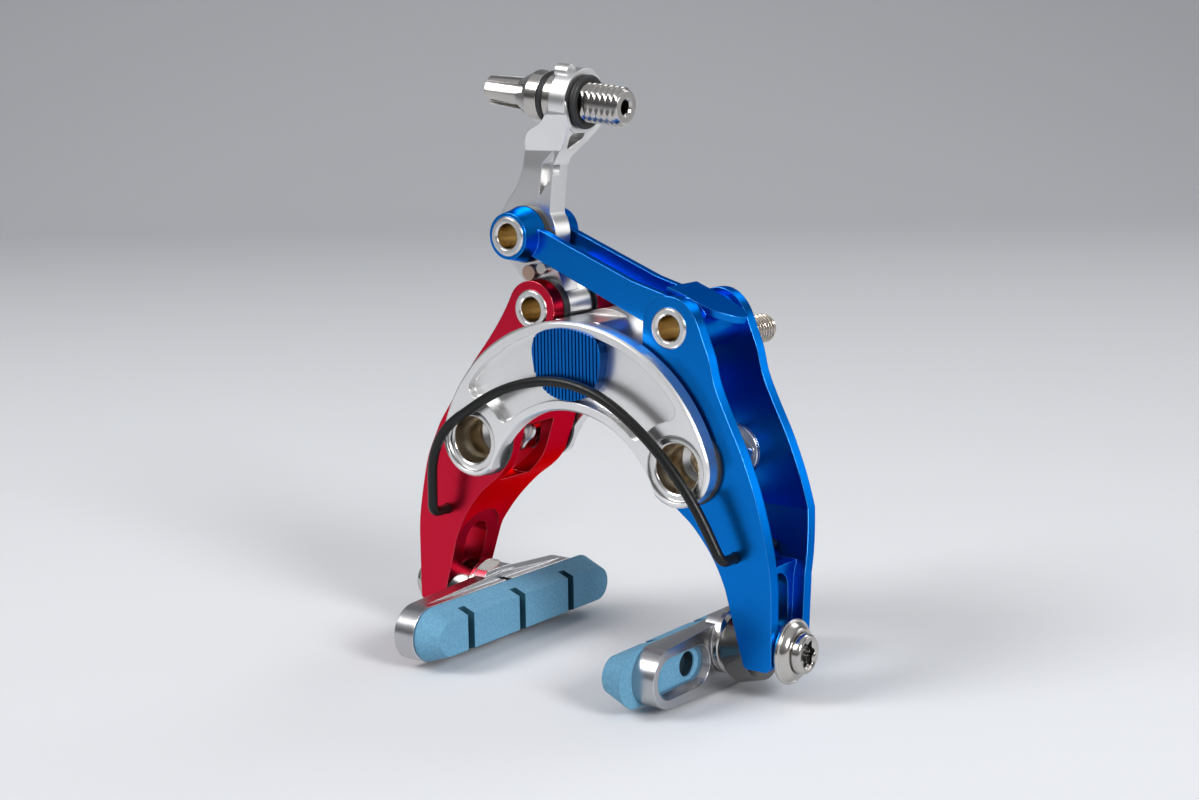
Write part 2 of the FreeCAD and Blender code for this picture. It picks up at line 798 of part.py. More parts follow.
def holder_bays():
    """Where the two windows of a holder start and end, in front of the bolt and behind it."""
    low, high = holder_ends()
    front = low + holder_rim
    back = high - holder_rim
    return [(front, bolt_y - dish_clear), (bolt_y + dish_clear, back)]


def holder_window(low, high, x0, x1):
    """A window whose edge slopes in from the outer face."""
    middle = (low + high) / 2
    height = pad_h - 2 * holder_rim
    mouth = stadium(middle, pad_z, high - low, height, x1)
    slope = holder_slope
    throat = stadium(middle, pad_z, high - low - slope, height - 2 * slope, x1 - holder_dish)
    dish = Part.makeLoft([throat, mouth], True, True)
    return dish.fuse(stadium_solid(middle, pad_z, high - low - slope, height - 2 * slope, x0 - 1, x1))


def pad_holder(side):
    x0 = pad_face_x + pad_t
    x1 = x0 + holder_t
    low, high = holder_ends()
    y_mid = (low + high) / 2
    body = stadium_solid(y_mid, pad_z, high - low, pad_h + 0.3, x0, x1)
    boss = cross_rod(bolt_y, bolt_z, holder_boss_r, x0 + holder_t / 2, x1 + holder_boss_t)
    keep = stadium_solid(y_mid, pad_z + 1.0, high - low, pad_h + 2.3, x0, x1 + holder_boss_t)
    half = pad_h / 2 + 0.15
    wide = half + holder_flare
    flare = [(low + half, pad_z - half), (bolt_y, pad_z - wide), (high - half, pad_z - half),
             (high - half, pad_z + half), (bolt_y, pad_z + wide), (low + half, pad_z + half)]
    body = fuse([body, side_block(flare, x0 + holder_t * 0.35, x1), boss.common(keep)])
    body = body.cut(pad_root(x0 - 1, x0 + holder_t / 2))
    for low, high in holder_bays():
        body = body.cut(holder_window(low, high, x0, x1))
    body = body.cut(cross_rod(bolt_y, bolt_z, bolt_r, x0, x1 + 10))
    return half_turn(body, side)


def holder_seat_x():
    return pad_face_x + pad_t + holder_t + holder_boss_t


def dome_centre_x():
    return seat_x() - cup_t * 0.64 - dome_r


def seat_x():
    """Where the bolt axis meets the arm's inner face."""
    a = (pivot_x + arm_inner[0][0], pivot_z + arm_inner[0][1])
    b = (pivot_x + seat_foot[0], pivot_z + seat_foot[1])
    return a[0] + (bolt_z - a[1]) * (b[0] - a[0]) / (b[1] - a[1])


def dome_washer(side):
    ball = Part.makeSphere(dome_r, V(dome_centre_x(), bolt_y, bolt_z))
    body = cross_rod(bolt_y, bolt_z, dome_edge_r, holder_seat_x(), seat_x()).common(ball)
    return flip(body.cut(cross_rod(bolt_y, bolt_z, bolt_r, 0, 90)), side)


def cup_washer(side):
    """The hollow-faced washer on the arm, square to the arm's slanted face."""
    lean = math.atan2(seat_foot[0] - arm_inner[0][0], arm_inner[0][1] - seat_foot[1])
    n = V(-math.cos(lean), 0, -math.sin(lean))
    foot = V(seat_x(), bolt_y, bolt_z)
    body = Part.makeCylinder(cup_r, cup_t, foot, n)
    ball = Part.makeSphere(dome_r + side_gap, V(dome_centre_x(), bolt_y, bolt_z))
    body = body.cut(ball).cut(cross_rod(bolt_y, bolt_z, bolt_r + 0.5, 0, 90))
    body = body.cut(cross_rod(bolt_y, bolt_z, 40, 0, dome_centre_x() + dome_r * 0.78))
    return flip(body, side)


def bolt_flange_x():
    return pivot_x + arm_outer[-1][0] + side_gap


def pad_bolt(side):
    x0 = pad_face_x + pad_t + holder_t / 2
    x1 = bolt_flange_x()
    x2 = x1 + flange_t
    shank = cross_rod(bolt_y, bolt_z, bolt_r, x0, x2)
    head = cross_rod(bolt_y, bolt_z, bolt_head_r, x2, x2 + bolt_head_t)
    body = fuse([shank, head])
    points = []
    for i in range(12):
        r = star_r if i % 2 == 0 else star_r * 0.72
        a = math.radians(30 * i)
        points.append((bolt_y + r * math.cos(a), bolt_z + r * math.sin(a)))
    socket = side_block(points, x2 + bolt_head_t - star_depth, x2 + bolt_head_t + 1)
    return flip(body.cut(socket), side)


def flange_washer(side):
    x1 = bolt_flange_x()
    rim = flange_t * 0.45
    base = cross_rod(bolt_y, bolt_z, flange_r, x1, x1 + rim)
    dish = Part.makeCone(flange_r - 0.4, bolt_head_r + 0.5, flange_t - rim,
                         V(x1 + rim, bolt_y, bolt_z), V(1, 0, 0))
    return flip(fuse([base, dish]).cut(cross_rod(bolt_y, bolt_z, bolt_r, x1 - 1, x1 + 9)), side)


# Cable adjuster, on the eye's axis


def adjuster_barrel():
    right = eye_w / 2 + 2 * ring_wire
    end = right + thread_len
    left = -eye_w / 2 - collar_len
    chamfer = 0.7
    a = math.radians(eye_tilt)
    d = V(math.cos(a), 0, -math.sin(a))
    shoulder = V(eye_x, lever_mid, eye_z) + d * (end - chamfer)
    pieces = [Part.makeCone(thread_r, thread_r - chamfer, chamfer, shoulder, d)]
    pieces.append(eye_rod(sleeve_r, left - 2, eye_w / 2))
    pieces.append(eye_rod(thread_r, eye_w / 2 - EPS, end - chamfer))
    pieces.append(eye_rod(grip_base_r, left, -eye_w / 2 - side_gap))
    body = fuse(pieces)
    for way in (-1, 1):
        near = lever_mid + way * thread_flat
        far = lever_mid + way * (thread_r + 1)
        flat = side_block([(near, 0), (far, 0), (far, 90), (near, 90)], eye_x + right + 1, eye_x + end + 3)
        body = body.cut(flat)
    return body.cut(eye_rod(cable_r, left - 30, end + 1))


def adjuster_grip():
    """Fluted grip: a disc that narrows to a neck, with square grooves milled in from the tip."""
    a = math.radians(eye_tilt)
    d = V(math.cos(a), 0, -math.sin(a))
    start = -eye_w / 2 - collar_len - 2 * ring_wire
    base = V(eye_x, lever_mid, eye_z) + d * start
    turns = [(0.0, grip_base_r), (grip_base_len, grip_base_r), (grip_neck_at, grip_neck_r),
             (grip_len - 0.8, grip_tip_r), (grip_len, grip_tip_r - 0.8)]
    pieces = []
    for (u0, r0), (u1, r1) in zip(turns, turns[1:]):
        foot = base - d * u0
        if r0 == r1:
            pieces.append(Part.makeCylinder(r0, u1 - u0, foot, d * -1))
        else:
            pieces.append(Part.makeCone(r0, r1, u1 - u0, foot, d * -1))
    body = fuse(pieces)
    turn = V(0, 1, 0)
    across = d.cross(turn)
    for i in range(grip_flutes):
        angle = 2 * math.pi * i / grip_flutes + 0.3
        out = turn * math.cos(angle) + across * math.sin(angle)
        beside = out.cross(d) * (flute_w / 2)
        near = base - d * flute_from
        corners = [near + out * flute_floor_r - beside, near + out * flute_floor_r + beside,
                   near + out * 9.0 + beside, near + out * 9.0 - beside]
        groove = Part.Face(Part.makePolygon(corners + corners[:1])).extrude(d * -(grip_len + 2))
        body = body.cut(groove)
    body = body.cut(eye_rod(sleeve_r, -eye_w / 2 - collar_len - 2, 0))
    return body.cut(eye_rod(cable_r, start - 40, 0))


def adjuster_rings():
    a = math.radians(eye_tilt)
    d = V(math.cos(a), 0, -math.sin(a))
    rings = []
    spots = [(eye_w / 2 + ring_wire + side_gap, thread_r), (-eye_w / 2 - collar_len - ring_wire, sleeve_r)]
    for u, inner in spots:
        middle = V(eye_x, lever_mid, eye_z) + d * u
        body = Part.makeTorus(ring_r - ring_wire, ring_wire, middle, d)
        body = body.fuse(eye_rod(ring_r - ring_wire, u - ring_wire * 0.8, u + ring_wire * 0.8))
        body = body.cut(eye_rod(inner, u - 3, u + 3))
        rings.append(body.removeSplitter())
    return Part.makeCompound(rings)


# Return spring


def bent_rail(corners, bends):
    """Straight runs joined by round bends, through a list of corners."""
    edges = []
    last = corners[0]
    for i, bend in enumerate(bends):
        corner = corners[i + 1]
        before = (corners[i] - corner).normalize()
        after = (corners[i + 2] - corner).normalize()
        half = before.getAngle(after) / 2
        reach = bend / math.tan(half)
        into = corner + before * reach
        out = corner + after * reach
        middle = corner + (before + after).normalize() * (bend / math.sin(half) - bend)
        edges.append(Part.makeLine(last, into))
        edges.append(Part.Arc(into, middle, out).toShape())
        last = out
    edges.append(Part.makeLine(last, corners[-1]))
    return Part.Wire(edges)


def return_spring():
    """One wire: hooked into the left arm, over the bridge, into the right arm."""
    lift = front_y - badge_lift - wire_gap - wire_r
    tail = arm_front + spring_tail
    left = from_pivot([spring_hole], -1)[0]
    right = from_pivot([spring_hole], 1)[0]
    corners = [point(left, tail), point(left, lift + hook_lean)]
    corners += [point(p, lift) for p in spring_corners]
    corners += [point(right, lift + hook_lean), point(right, tail)]
    rail = bent_rail(corners, [spring_hook_r] + spring_bends + [spring_hook_r])
    ring = Part.Wire([Part.makeCircle(wire_r, corners[0], V(0, -1, 0))])
    return rail.makePipeShell([ring], True, True)


nodes = {
    "bridge_front": bridge_front(),
    "bridge_core": bridge_core(),
    "mounting_stud": mounting_stud(),
    "badge": badge(),
    "thrust_washers": thrust_washers(),
    "return_spring": return_spring(),
    "swing_lever": swing_lever(),
    "lever_pin_large": lever_pin(0),
    "lever_pin_small": lever_pin(1),
    "top_link": top_link(),
    "elbow_washers": elbow_washers(),
    "elbow_pin": hollow_pin(elbow, elbow_pin_ends()[0], elbow_pin_ends()[1]),
    "left_knee_pin": hollow_pin(left_knee, arm_front, arm_back),
    "right_knee_pin": hollow_pin(right_knee, arm_front, arm_back),
    "left_knee_washers": left_knee_washers(),
    "adjuster_barrel": adjuster_barrel(),
    "adjuster_grip": adjuster_grip(),
    "adjuster_rings": adjuster_rings(),
}
for side, name in ((1, "right"), (-1, "left")):
    nodes[name + "_arm"] = arm(side)
    nodes[name + "_axle"] = pivot_axle(side)
    nodes[name + "_axle_nut"] = pivot_nut(side)
    nodes[name + "_pad"] = brake_pad(side)
    nodes[name + "_pad_holder"] = pad_holder(side)
    nodes[name + "_pad_bolt"] = pad_bolt(side)
    nodes[name + "_flange_washer"] = flange_washer(side)
    nodes[name + "_dome_washer"] = dome_washer(side)
    nodes[name + "_cup_washer"] = cup_washer(side)

for name, shape in nodes.items():
    box = shape.BoundBox
    print(name, "solids", len(shape.Solids), "valid", shape.isValid(), "volume %.1f" % shape.Volume,
          "size %.1f %.1f %.1f" % (box.XLength, box.YLength, box.ZLength))
    shape.exportStep("parts/" + name + ".step")
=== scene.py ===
# %% [markdown]
# # A caliper brake, dressed for the studio
# The solids of the brake come packed from the CAD source, with every piece in its place.
# This lesson gives them their finishes, makes the small parts that need a finer shape than the
# solids have, and sets up the floor, the lights and the camera. Everything is in metres, in the
# frame of the solids: X to the right seen from the front, Y to the rear, Z up.

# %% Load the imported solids
import json
import math

import bmesh
import bpy
from mathutils import Matrix, Vector


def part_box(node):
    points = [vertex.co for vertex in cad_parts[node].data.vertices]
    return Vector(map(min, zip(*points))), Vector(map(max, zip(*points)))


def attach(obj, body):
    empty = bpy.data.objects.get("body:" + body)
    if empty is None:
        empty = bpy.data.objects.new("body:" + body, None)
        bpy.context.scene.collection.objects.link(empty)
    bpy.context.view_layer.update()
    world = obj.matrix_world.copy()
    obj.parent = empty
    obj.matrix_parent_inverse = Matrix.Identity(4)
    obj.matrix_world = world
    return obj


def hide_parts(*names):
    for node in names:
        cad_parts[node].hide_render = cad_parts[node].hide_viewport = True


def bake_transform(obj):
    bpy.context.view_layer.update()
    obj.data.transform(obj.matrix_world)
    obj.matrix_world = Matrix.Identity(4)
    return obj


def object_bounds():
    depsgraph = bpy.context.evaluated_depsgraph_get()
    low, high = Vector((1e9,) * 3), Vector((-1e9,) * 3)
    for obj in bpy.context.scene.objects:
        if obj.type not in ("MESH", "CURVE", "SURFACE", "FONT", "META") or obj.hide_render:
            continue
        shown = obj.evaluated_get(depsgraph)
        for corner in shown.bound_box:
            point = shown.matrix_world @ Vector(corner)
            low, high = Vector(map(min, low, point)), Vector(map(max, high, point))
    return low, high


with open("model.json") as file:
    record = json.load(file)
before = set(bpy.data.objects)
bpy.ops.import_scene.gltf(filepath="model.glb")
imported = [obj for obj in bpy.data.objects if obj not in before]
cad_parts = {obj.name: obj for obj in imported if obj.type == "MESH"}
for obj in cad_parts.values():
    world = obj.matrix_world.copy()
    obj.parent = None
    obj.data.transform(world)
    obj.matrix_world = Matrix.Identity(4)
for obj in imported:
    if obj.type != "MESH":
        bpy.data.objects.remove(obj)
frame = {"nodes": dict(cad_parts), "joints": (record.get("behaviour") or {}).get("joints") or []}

MM = 0.001
cad_low, cad_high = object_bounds()
nodes = frame["nodes"]


def in_mm(sizes):
    return [round(x / MM, 1) for x in sizes]


print("solids loaded:", len(nodes), "box", in_mm(cad_high - cad_low), "mm")

# %% [markdown]
# ## Camera
# The photograph looks at the brake from its right front, a little from above. A long lens keeps
# the crescent and the two pads in the right proportion, so the focal length matters as much as
# the angle. Euler angles could turn the camera. Here its frame is built from three directions,
# because that takes the slight roll of the picture along with the rest.

# %% Camera at the photograph's angle
PHOTO_WIDTH = 1199
FOCAL_PIXELS = 1900.0
turn = math.radians(37.0)
lift = math.radians(10.3)
roll = math.radians(-0.8)
aim = Vector((7.2, -26.0, -4.3)) * MM
reach = 338.0 * MM

back = Vector((math.sin(turn) * math.cos(lift), -math.cos(turn) * math.cos(lift), math.sin(lift)))
right = Vector((math.cos(turn), math.sin(turn), 0.0))
up = back.cross(right)
rolled_right = right * math.cos(roll) + up * math.sin(roll)
rolled_up = up * math.cos(roll) - right * math.sin(roll)

lens = bpy.data.cameras.new("photo_lens")
lens.sensor_fit = "HORIZONTAL"
lens.sensor_width = 36.0
lens.lens = FOCAL_PIXELS / PHOTO_WIDTH * lens.sensor_width
lens.clip_start = 0.01
camera = bpy.data.objects.new("photo_camera", lens)
bpy.context.scene.collection.objects.link(camera)
camera.matrix_world = Matrix((rolled_right, rolled_up, back)).transposed().to_4x4()
camera.location = aim + back * reach
bpy.context.scene.camera = camera
print("camera at", [round(x, 3) for x in camera.location], "lens", round(lens.lens, 2))

# %% [markdown]
# ## Floor
# A sweep of pale paper runs under the brake and up behind it, so there is no horizon line. A plane
# and a wall would show a corner; one strip with a quarter circle in it doesn't. The strip follows
# the camera's direction, so that its bend lies straight across the picture.

# %% Paper sweep
SWEEP = {"front": -3.5, "bend_from": 0.9, "bend_r": 0.5, "bend_steps": 24, "top": 2.2, "half": 3.5}
FLOOR_GAP = 0.2 * MM


def paper_sweep():
    floor_z = cad_low.z - FLOOR_GAP
    ahead = Vector((-back.x, -back.y, 0.0)).normalized()
    run = [(SWEEP["front"], 0.0), (SWEEP["bend_from"], 0.0)]
    for i in range(1, SWEEP["bend_steps"] + 1):
        a = math.pi / 2 * i / SWEEP["bend_steps"]
        run.append((SWEEP["bend_from"] + SWEEP["bend_r"] * math.sin(a),
                    SWEEP["bend_r"] * (1 - math.cos(a))))
    run.append((SWEEP["bend_from"] + SWEEP["bend_r"], SWEEP["top"]))
    corners = []
    for along, height in run:
        for side in (-SWEEP["half"], SWEEP["half"]):
            p = ahead * along + right * side
            corners.append((p.x, p.y, floor_z + height))
    faces = [(2 * i, 2 * i + 1, 2 * i + 3, 2 * i + 2) for i in range(len(run) - 1)]
    mesh = bpy.data.meshes.new("paper_sweep")
    mesh.from_pydata(corners, [], faces)
    mesh.shade_smooth()
    sweep = bpy.data.objects.new("paper_sweep", mesh)
    bpy.context.scene.collection.objects.link(sweep)
    return sweep


def shader_of(finish):
    return finish.node_tree.nodes["Principled BSDF"]


sweep = paper_sweep()
paper = bpy.data.materials.new("pale_paper")
paper.use_nodes = True
shader_of(paper).inputs["Base Color"].default_value = (0.70, 0.71, 0.73, 1.0)
shader_of(paper).inputs["Roughness"].default_value = 0.9
sweep.data.materials.append(paper)
print("paper sweep faces", len(sweep.data.polygons))

# %% [markdown]
# ## Light
# Polished metal shows whatever stands around it, so most of the look of this brake comes from four
# soft lamps and a sky that is dim at the sides and bright above. The key lamp, from the left front,
# lights the faces that look at the camera and leaves the outer sides of the arms darker. The side
# and edge lamps draw bright lines along the rims, and the rear lamp fills the back. A narrow spread
# aims a lamp at the brake and keeps the paper beside it from turning white. The lamps are hidden
# from the camera, so that none shows in a view from another side.

# %% Lamps
LAMP_AIM = Vector((0.0, 0.0, -0.005))


def soft_lamp(name, place, size, watts, spread):
    lamp = bpy.data.lights.new(name, "AREA")
    lamp.shape = "DISK"
    lamp.size = size
    lamp.energy = watts
    lamp.spread = math.radians(spread)
    stand = bpy.data.objects.new(name, lamp)
    bpy.context.scene.collection.objects.link(stand)
    stand.visible_camera = False
    stand.location = place
    stand.rotation_euler = (LAMP_AIM - Vector(place)).to_track_quat("-Z", "Y").to_euler()


soft_lamp("key_lamp", (-0.55, -0.80, 0.85), size=0.60, watts=3.4, spread=110.0)
soft_lamp("side_lamp", (0.84, -0.28, 0.42), size=0.36, watts=1.05, spread=70.0)
soft_lamp("rear_lamp", (0.14, 0.75, 0.75), size=0.48, watts=1.6, spread=180.0)
soft_lamp("edge_lamp", (0.62, 0.80, 0.17), size=0.38, watts=0.13, spread=80.0)

# %% Sky
SKY_SHADES = ((0.0, (0.05, 0.05, 0.055, 1.0)), (0.8, (0.50, 0.51, 0.53, 1.0)))

world = bpy.data.worlds.new("studio_sky")
bpy.context.scene.world = world
world.use_nodes = True
sky = world.node_tree
height = sky.nodes.new("ShaderNodeSeparateXYZ")
sky.links.new(sky.nodes.new("ShaderNodeTexCoord").outputs["Generated"], height.inputs[0])
shades = sky.nodes.new("ShaderNodeValToRGB")
for stop, (place, shade) in zip(shades.color_ramp.elements, SKY_SHADES):
    stop.position = place
    stop.color = shade
sky.links.new(height.outputs["Z"], shades.inputs["Fac"])
sky.links.new(shades.outputs["Color"], sky.nodes["Background"].inputs["Color"])
bpy.context.scene.view_settings.view_transform = "Standard"
print("sky shades", [tuple(round(c, 3) for c in stop.color) for stop in shades.color_ramp.elements])

# %% [markdown]
# ## Finishes
# The brake is bare alloy, dyed alloy, several steels, bronze and copper, with rubber and black
# coatings beside them. One flat colour for each would look like plastic, because metal gives itself
# away by uneven gloss and bright edges. So each finish is a small node tree that reads the object
# coordinates, and a pattern keeps its size on every piece. These helpers make the nodes that all the
# trees share: arithmetic, ranges, colour mixes and coordinates.

# %% Helpers for node trees
def add_node(tree, kind, **inputs):
    made = tree.nodes.new(kind)
    for name, value in inputs.items():
        made.inputs[name.replace("_", " ")].default_value = value
    return made


def reckon(tree, operation, *values):
    """Result of one sum; each value is a number or the output of another node."""
    made = tree.nodes.new("ShaderNodeMath")
    made.operation = operation
    for socket, value in zip(made.inputs, values):
        if isinstance(value, (int, float)):
            socket.default_value = value
        else:
            tree.links.new(value, socket)
    return made.outputs[0]


def to_range(tree, value, span, new_span=(0.0, 1.0), smooth=False):
    """The value moved from one span to another and held at its ends."""
    ranged = tree.nodes.new("ShaderNodeMapRange")
    if smooth:
        ranged.interpolation_type = "SMOOTHSTEP"
    for name, number in zip(("From Min", "From Max", "To Min", "To Max"), (*span, *new_span)):
        ranged.inputs[name].default_value = number
    tree.links.new(value, ranged.inputs["Value"])
    return ranged.outputs["Result"]


def mix_colours(tree, share, one, two):
    """Colour one where the share is 0 and colour two where it is 1."""
    mix = tree.nodes.new("ShaderNodeMix")
    mix.data_type = "RGBA"
    tree.links.new(share, mix.inputs["Factor"])
    for socket, value in ((mix.inputs["A"], one), (mix.inputs["B"], two)):
        if isinstance(value, tuple):
            socket.default_value = (*value, 1.0)
        else:
            tree.links.new(value, socket)
    return mix.outputs["Result"]


print("helpers:", [f.__name__ for f in (add_node, reckon, to_range, mix_colours)])

# %% Coordinates and a blank finish
def object_places(tree, scale):
    places = tree.nodes.new("ShaderNodeTexCoord")
    mapping = add_node(tree, "ShaderNodeMapping", Scale=(scale, scale, scale))
    tree.links.new(places.outputs["Object"], mapping.inputs["Vector"])
    return mapping.outputs["Vector"]


def object_axes(tree):
    """The X, Y and Z of a point, in metres."""
    axes = tree.nodes.new("ShaderNodeSeparateXYZ")
    tree.links.new(object_places(tree, 1.0), axes.inputs[0])
    return axes.outputs


def new_finish(name, colour, metallic, roughness):
    made = bpy.data.materials.new(name)
    made.use_nodes = True
    made.diffuse_color = (*colour, 1.0)
    shader = shader_of(made)
    shader.inputs["Base Color"].default_value = (*colour, 1.0)
    shader.inputs["Metallic"].default_value = metallic
    shader.inputs["Roughness"].default_value = roughness
    return made


print("helpers:", [f.__name__ for f in (object_places, object_axes, new_finish)])

# %% [markdown]
# Two things make a surface look handled: a grain that makes its gloss uneven, and edges that are
# never quite sharp. Rounding every edge as a shape would cost many faces, so a bevel node rounds them
# for the light only. Where the rounded normal differs from the flat one there is an edge, and there
# a painted highlight turns the colour to brighter metal.

# %% Grain and rounded edges
GRAIN_SPAN = (0.3, 0.7)
GRAIN_HEIGHT = 0.05 * MM
EDGE_SAMPLES = 6
EDGE_COSINES = (0.995, 0.80)


def add_grain(made, grain, rough_span, edge_mm, bump=0.0):
    """Uneven gloss, rounded edges and a fine skin; gives the noise and the rounded normal."""
    tree = made.node_tree
    shader = shader_of(made)
    noise = add_node(tree, "ShaderNodeTexNoise", Scale=1.0, Detail=3.0, Roughness=0.6)
    tree.links.new(object_places(tree, grain), noise.inputs["Vector"])
    gloss = to_range(tree, noise.outputs["Fac"], GRAIN_SPAN, rough_span)
    tree.links.new(gloss, shader.inputs["Roughness"])
    edge = add_node(tree, "ShaderNodeBevel", Radius=edge_mm * MM)
    edge.samples = EDGE_SAMPLES
    tree.links.new(edge.outputs["Normal"], shader.inputs["Normal"])
    if bump:
        raised = add_node(tree, "ShaderNodeBump", Strength=bump, Distance=GRAIN_HEIGHT)
        tree.links.new(noise.outputs["Fac"], raised.inputs["Height"])
        tree.links.new(edge.outputs["Normal"], raised.inputs["Normal"])
        tree.links.new(raised.outputs["Normal"], shader.inputs["Normal"])
    return noise.outputs["Fac"], edge.outputs["Normal"]


def edge_highlight_share(tree, rounded):
    """Near 1 along an edge, 0 on the open face: where the painted highlight goes."""
    flat = tree.nodes.new("ShaderNodeNewGeometry")
    both = tree.nodes.new("ShaderNodeVectorMath")
    both.operation = "DOT_PRODUCT"
    tree.links.new(rounded, both.inputs[0])
    tree.links.new(flat.outputs["Normal"], both.inputs[1])
    return to_range(tree, both.outputs["Value"], EDGE_COSINES)


print("edges start at a cosine of", EDGE_COSINES[0], "and are full at", EDGE_COSINES[1])

# %% [markdown]
# A metal is its colour, its roughness, a slight mottle in the colour and a painted highlight along
# its edges. The bridge front is paler than the rest of the bare alloy, and the pad holders are duller.
# The arms and the top link are dyed alloy: their colour would wash out where the view runs along the
# surface, so the specular tint of the shader keeps them deep there.

# %% A metal finish
MOTTLE_SCALE = 130.0
MOTTLE_SPAN = (0.35, 0.65)
GLOSS_SWING = 0.04
# Painted highlight: edges are this much brighter than the face unless a colour is given.
PAINTED_HIGHLIGHT_GAIN = 1.15


def metal(name, colour, roughness, painted_highlight=None, mottle=0.04, metallic=1.0, tint=None, grain=110.0,
          edge_mm=0.22):
    """A metal with grain, a slight mottle in its colour, and a painted highlight along its edges."""
    made = new_finish(name, colour, metallic, roughness)
    tree = made.node_tree
    rough_span = (roughness * (1.0 - GLOSS_SWING), roughness * (1.0 + GLOSS_SWING))
    _, rounded = add_grain(made, grain, rough_span, edge_mm)
    clouds = add_node(tree, "ShaderNodeTexNoise", Scale=1.0, Detail=2.0)
    tree.links.new(object_places(tree, MOTTLE_SCALE), clouds.inputs["Vector"])
    dim = tuple(c * (1.0 - 2.0 * mottle) for c in colour)
    face = mix_colours(tree, to_range(tree, clouds.outputs["Fac"], MOTTLE_SPAN), dim, colour)
    # Painted highlight: a brighter colour along the edges that the bevel node finds.
    painted_highlight = painted_highlight or tuple(min(1.0, c * PAINTED_HIGHLIGHT_GAIN) for c in colour)
    face = mix_colours(tree, edge_highlight_share(tree, rounded), face, painted_highlight)
    tree.links.new(face, shader_of(made).inputs["Base Color"])
    if tint:
        shader_of(made).inputs["Specular Tint"].default_value = (*tint, 1.0)
    return made


print("gloss swings by", GLOSS_SWING, "and worn edges gain", PAINTED_HIGHLIGHT_GAIN)

# %% The metals of the brake
# Where a metal is given a second colour, it is a highlight painted along its edges.
silver = metal("machined_alloy", (0.78, 0.775, 0.77), 0.31, painted_highlight=(0.93, 0.93, 0.93), mottle=0.015)
pale_silver = metal("blasted_alloy", (0.88, 0.873, 0.868), 0.31, painted_highlight=(0.94, 0.94, 0.94), mottle=0.01)
holder_silver = metal("dull_alloy", (0.50, 0.50, 0.515), 0.26, painted_highlight=(0.90, 0.90, 0.90), mottle=0.03)
blue = metal("blue_anodised", (0.004, 0.18, 0.64), 0.29, painted_highlight=(0.06, 0.34, 0.88), mottle=0.02,
             tint=(0.12, 0.42, 1.0))
red = metal("red_anodised", (0.62, 0.016, 0.045), 0.30, painted_highlight=(0.88, 0.14, 0.17), mottle=0.02,
            tint=(1.0, 0.16, 0.20))
steel = metal("polished_steel", (0.54, 0.515, 0.485), 0.18, painted_highlight=(0.90, 0.88, 0.86))
bright_steel = metal("bright_steel", (0.74, 0.73, 0.72), 0.24, painted_highlight=(0.93, 0.92, 0.91))
# Painted shade: a dark slate blue for the face of the nut's disc deep in the arm's channel.
slate_shade = metal("slate_shade_steel", (0.24, 0.27, 0.33), 0.38, metallic=0.25)
stud_steel = metal("plated_steel", (0.60, 0.52, 0.43), 0.25, edge_mm=0.08)
bronze = metal("bronze_lining", (0.74, 0.60, 0.37), 0.26, grain=200.0)
cup_lining = metal("pale_bronze", (0.66, 0.58, 0.46), 0.24, grain=200.0)
copper = metal("copper_pin", (0.56, 0.39, 0.31), 0.30)
# Blackened steel: the cup washers' own colour, and painted shade deep in the star sockets of the bolts.
blackened_and_shade_steel = metal("blackened_steel_and_shade", (0.16, 0.157, 0.153), 0.20)
metals = (silver, pale_silver, holder_silver, blue, red, steel, bright_steel, slate_shade, stud_steel,
          bronze, cup_lining, copper, blackened_and_shade_steel)
print("metals", [m.name for m in metals])

# %% [markdown]
# The swing lever is machined alloy with a shallow hollow across its neck. Cut as a shape it would
# hardly change the outline, so it is a bump instead: a height that falls smoothly along Z, laid over
# the rounded normal of the bare alloy.

# %% Hollow on the neck of the lever
HOLLOW_SPAN = (35.0 * MM, 43.0 * MM)
HOLLOW_DEPTH = 0.62 * MM


def hollowed_finish():
    made = silver.copy()
    made.name = "hollowed_alloy"
    tree = made.node_tree
    shader = shader_of(made)
    falling = to_range(tree, object_axes(tree)["Z"], HOLLOW_SPAN, (1.0, 0.0), smooth=True)
    hollow = add_node(tree, "ShaderNodeBump", Strength=1.0, Distance=HOLLOW_DEPTH)
    tree.links.new(falling, hollow.inputs["Height"])
    tree.links.new(shader.inputs["Normal"].links[0].from_socket, hollow.inputs["Normal"])
    tree.links.new(hollow.outputs["Normal"], shader.inputs["Normal"])
    return made


lever_silver = hollowed_finish()
print("lever finish", lever_silver.name, "nodes", len(lever_silver.node_tree.nodes))

# %% [markdown]
# Rubber and coatings are not metals, so they take their colour from scattered light. The spring is
# coated wire, a little less glossy than paint; the thin washers and the adjuster's rings are matt.

# %% Black coatings and rubber
DARK_GLOSS = (0.85, 1.2)
DARK_EDGE_MM = 0.12


def plain_dark(name, colour, roughness, grain, bump):
    made = new_finish(name, colour, 0.0, roughness)
    rough_span = tuple(min(1.0, roughness * share) for share in DARK_GLOSS)
    add_grain(made, grain, rough_span, DARK_EDGE_MM, bump)
    return made


wire_black = plain_dark("black_coated_wire", (0.005, 0.005, 0.005), 0.36, 1500.0, 0.05)
shader_of(wire_black).inputs["Specular IOR Level"].default_value = 0.32
washer_black = plain_dark("black_washer", (0.02, 0.02, 0.021), 0.42, 2400.0, 0.1)
ring_black = plain_dark("ring_rubber", (0.014, 0.014, 0.015), 0.50, 2000.0, 0.1)
print("dark finishes", [m.name for m in (wire_black, washer_black, ring_black)])

# %% [markdown]
# The pads are a pale blue compound with a dusty, speckled skin. Their cross grooves and the round
# hole that locks each pad in its holder are shapes of the solid, but soft light fills them, so shade is
# painted into them: the colour is darker inside. A ping-pong of the Y coordinate gives the distance to
# the nearest groove, and a distance in Y and Z finds the hole; the depth in X keeps both off the other
# faces.

# %% Where shade is painted into the pads
GROOVE = {"pitch": 15.2 * MM, "shift": 1.8 * MM, "half": 0.9 * MM, "floor": 2.5 * MM, "fade": 0.1 * MM}
KEY = {"from_bolt": 10.3 * MM, "r": 2.3 * MM, "middle": 1.3 * MM, "half_depth": 0.95 * MM}
GROOVE_RIM = 1.05
KEY_RIM = (1.04, 1.01)


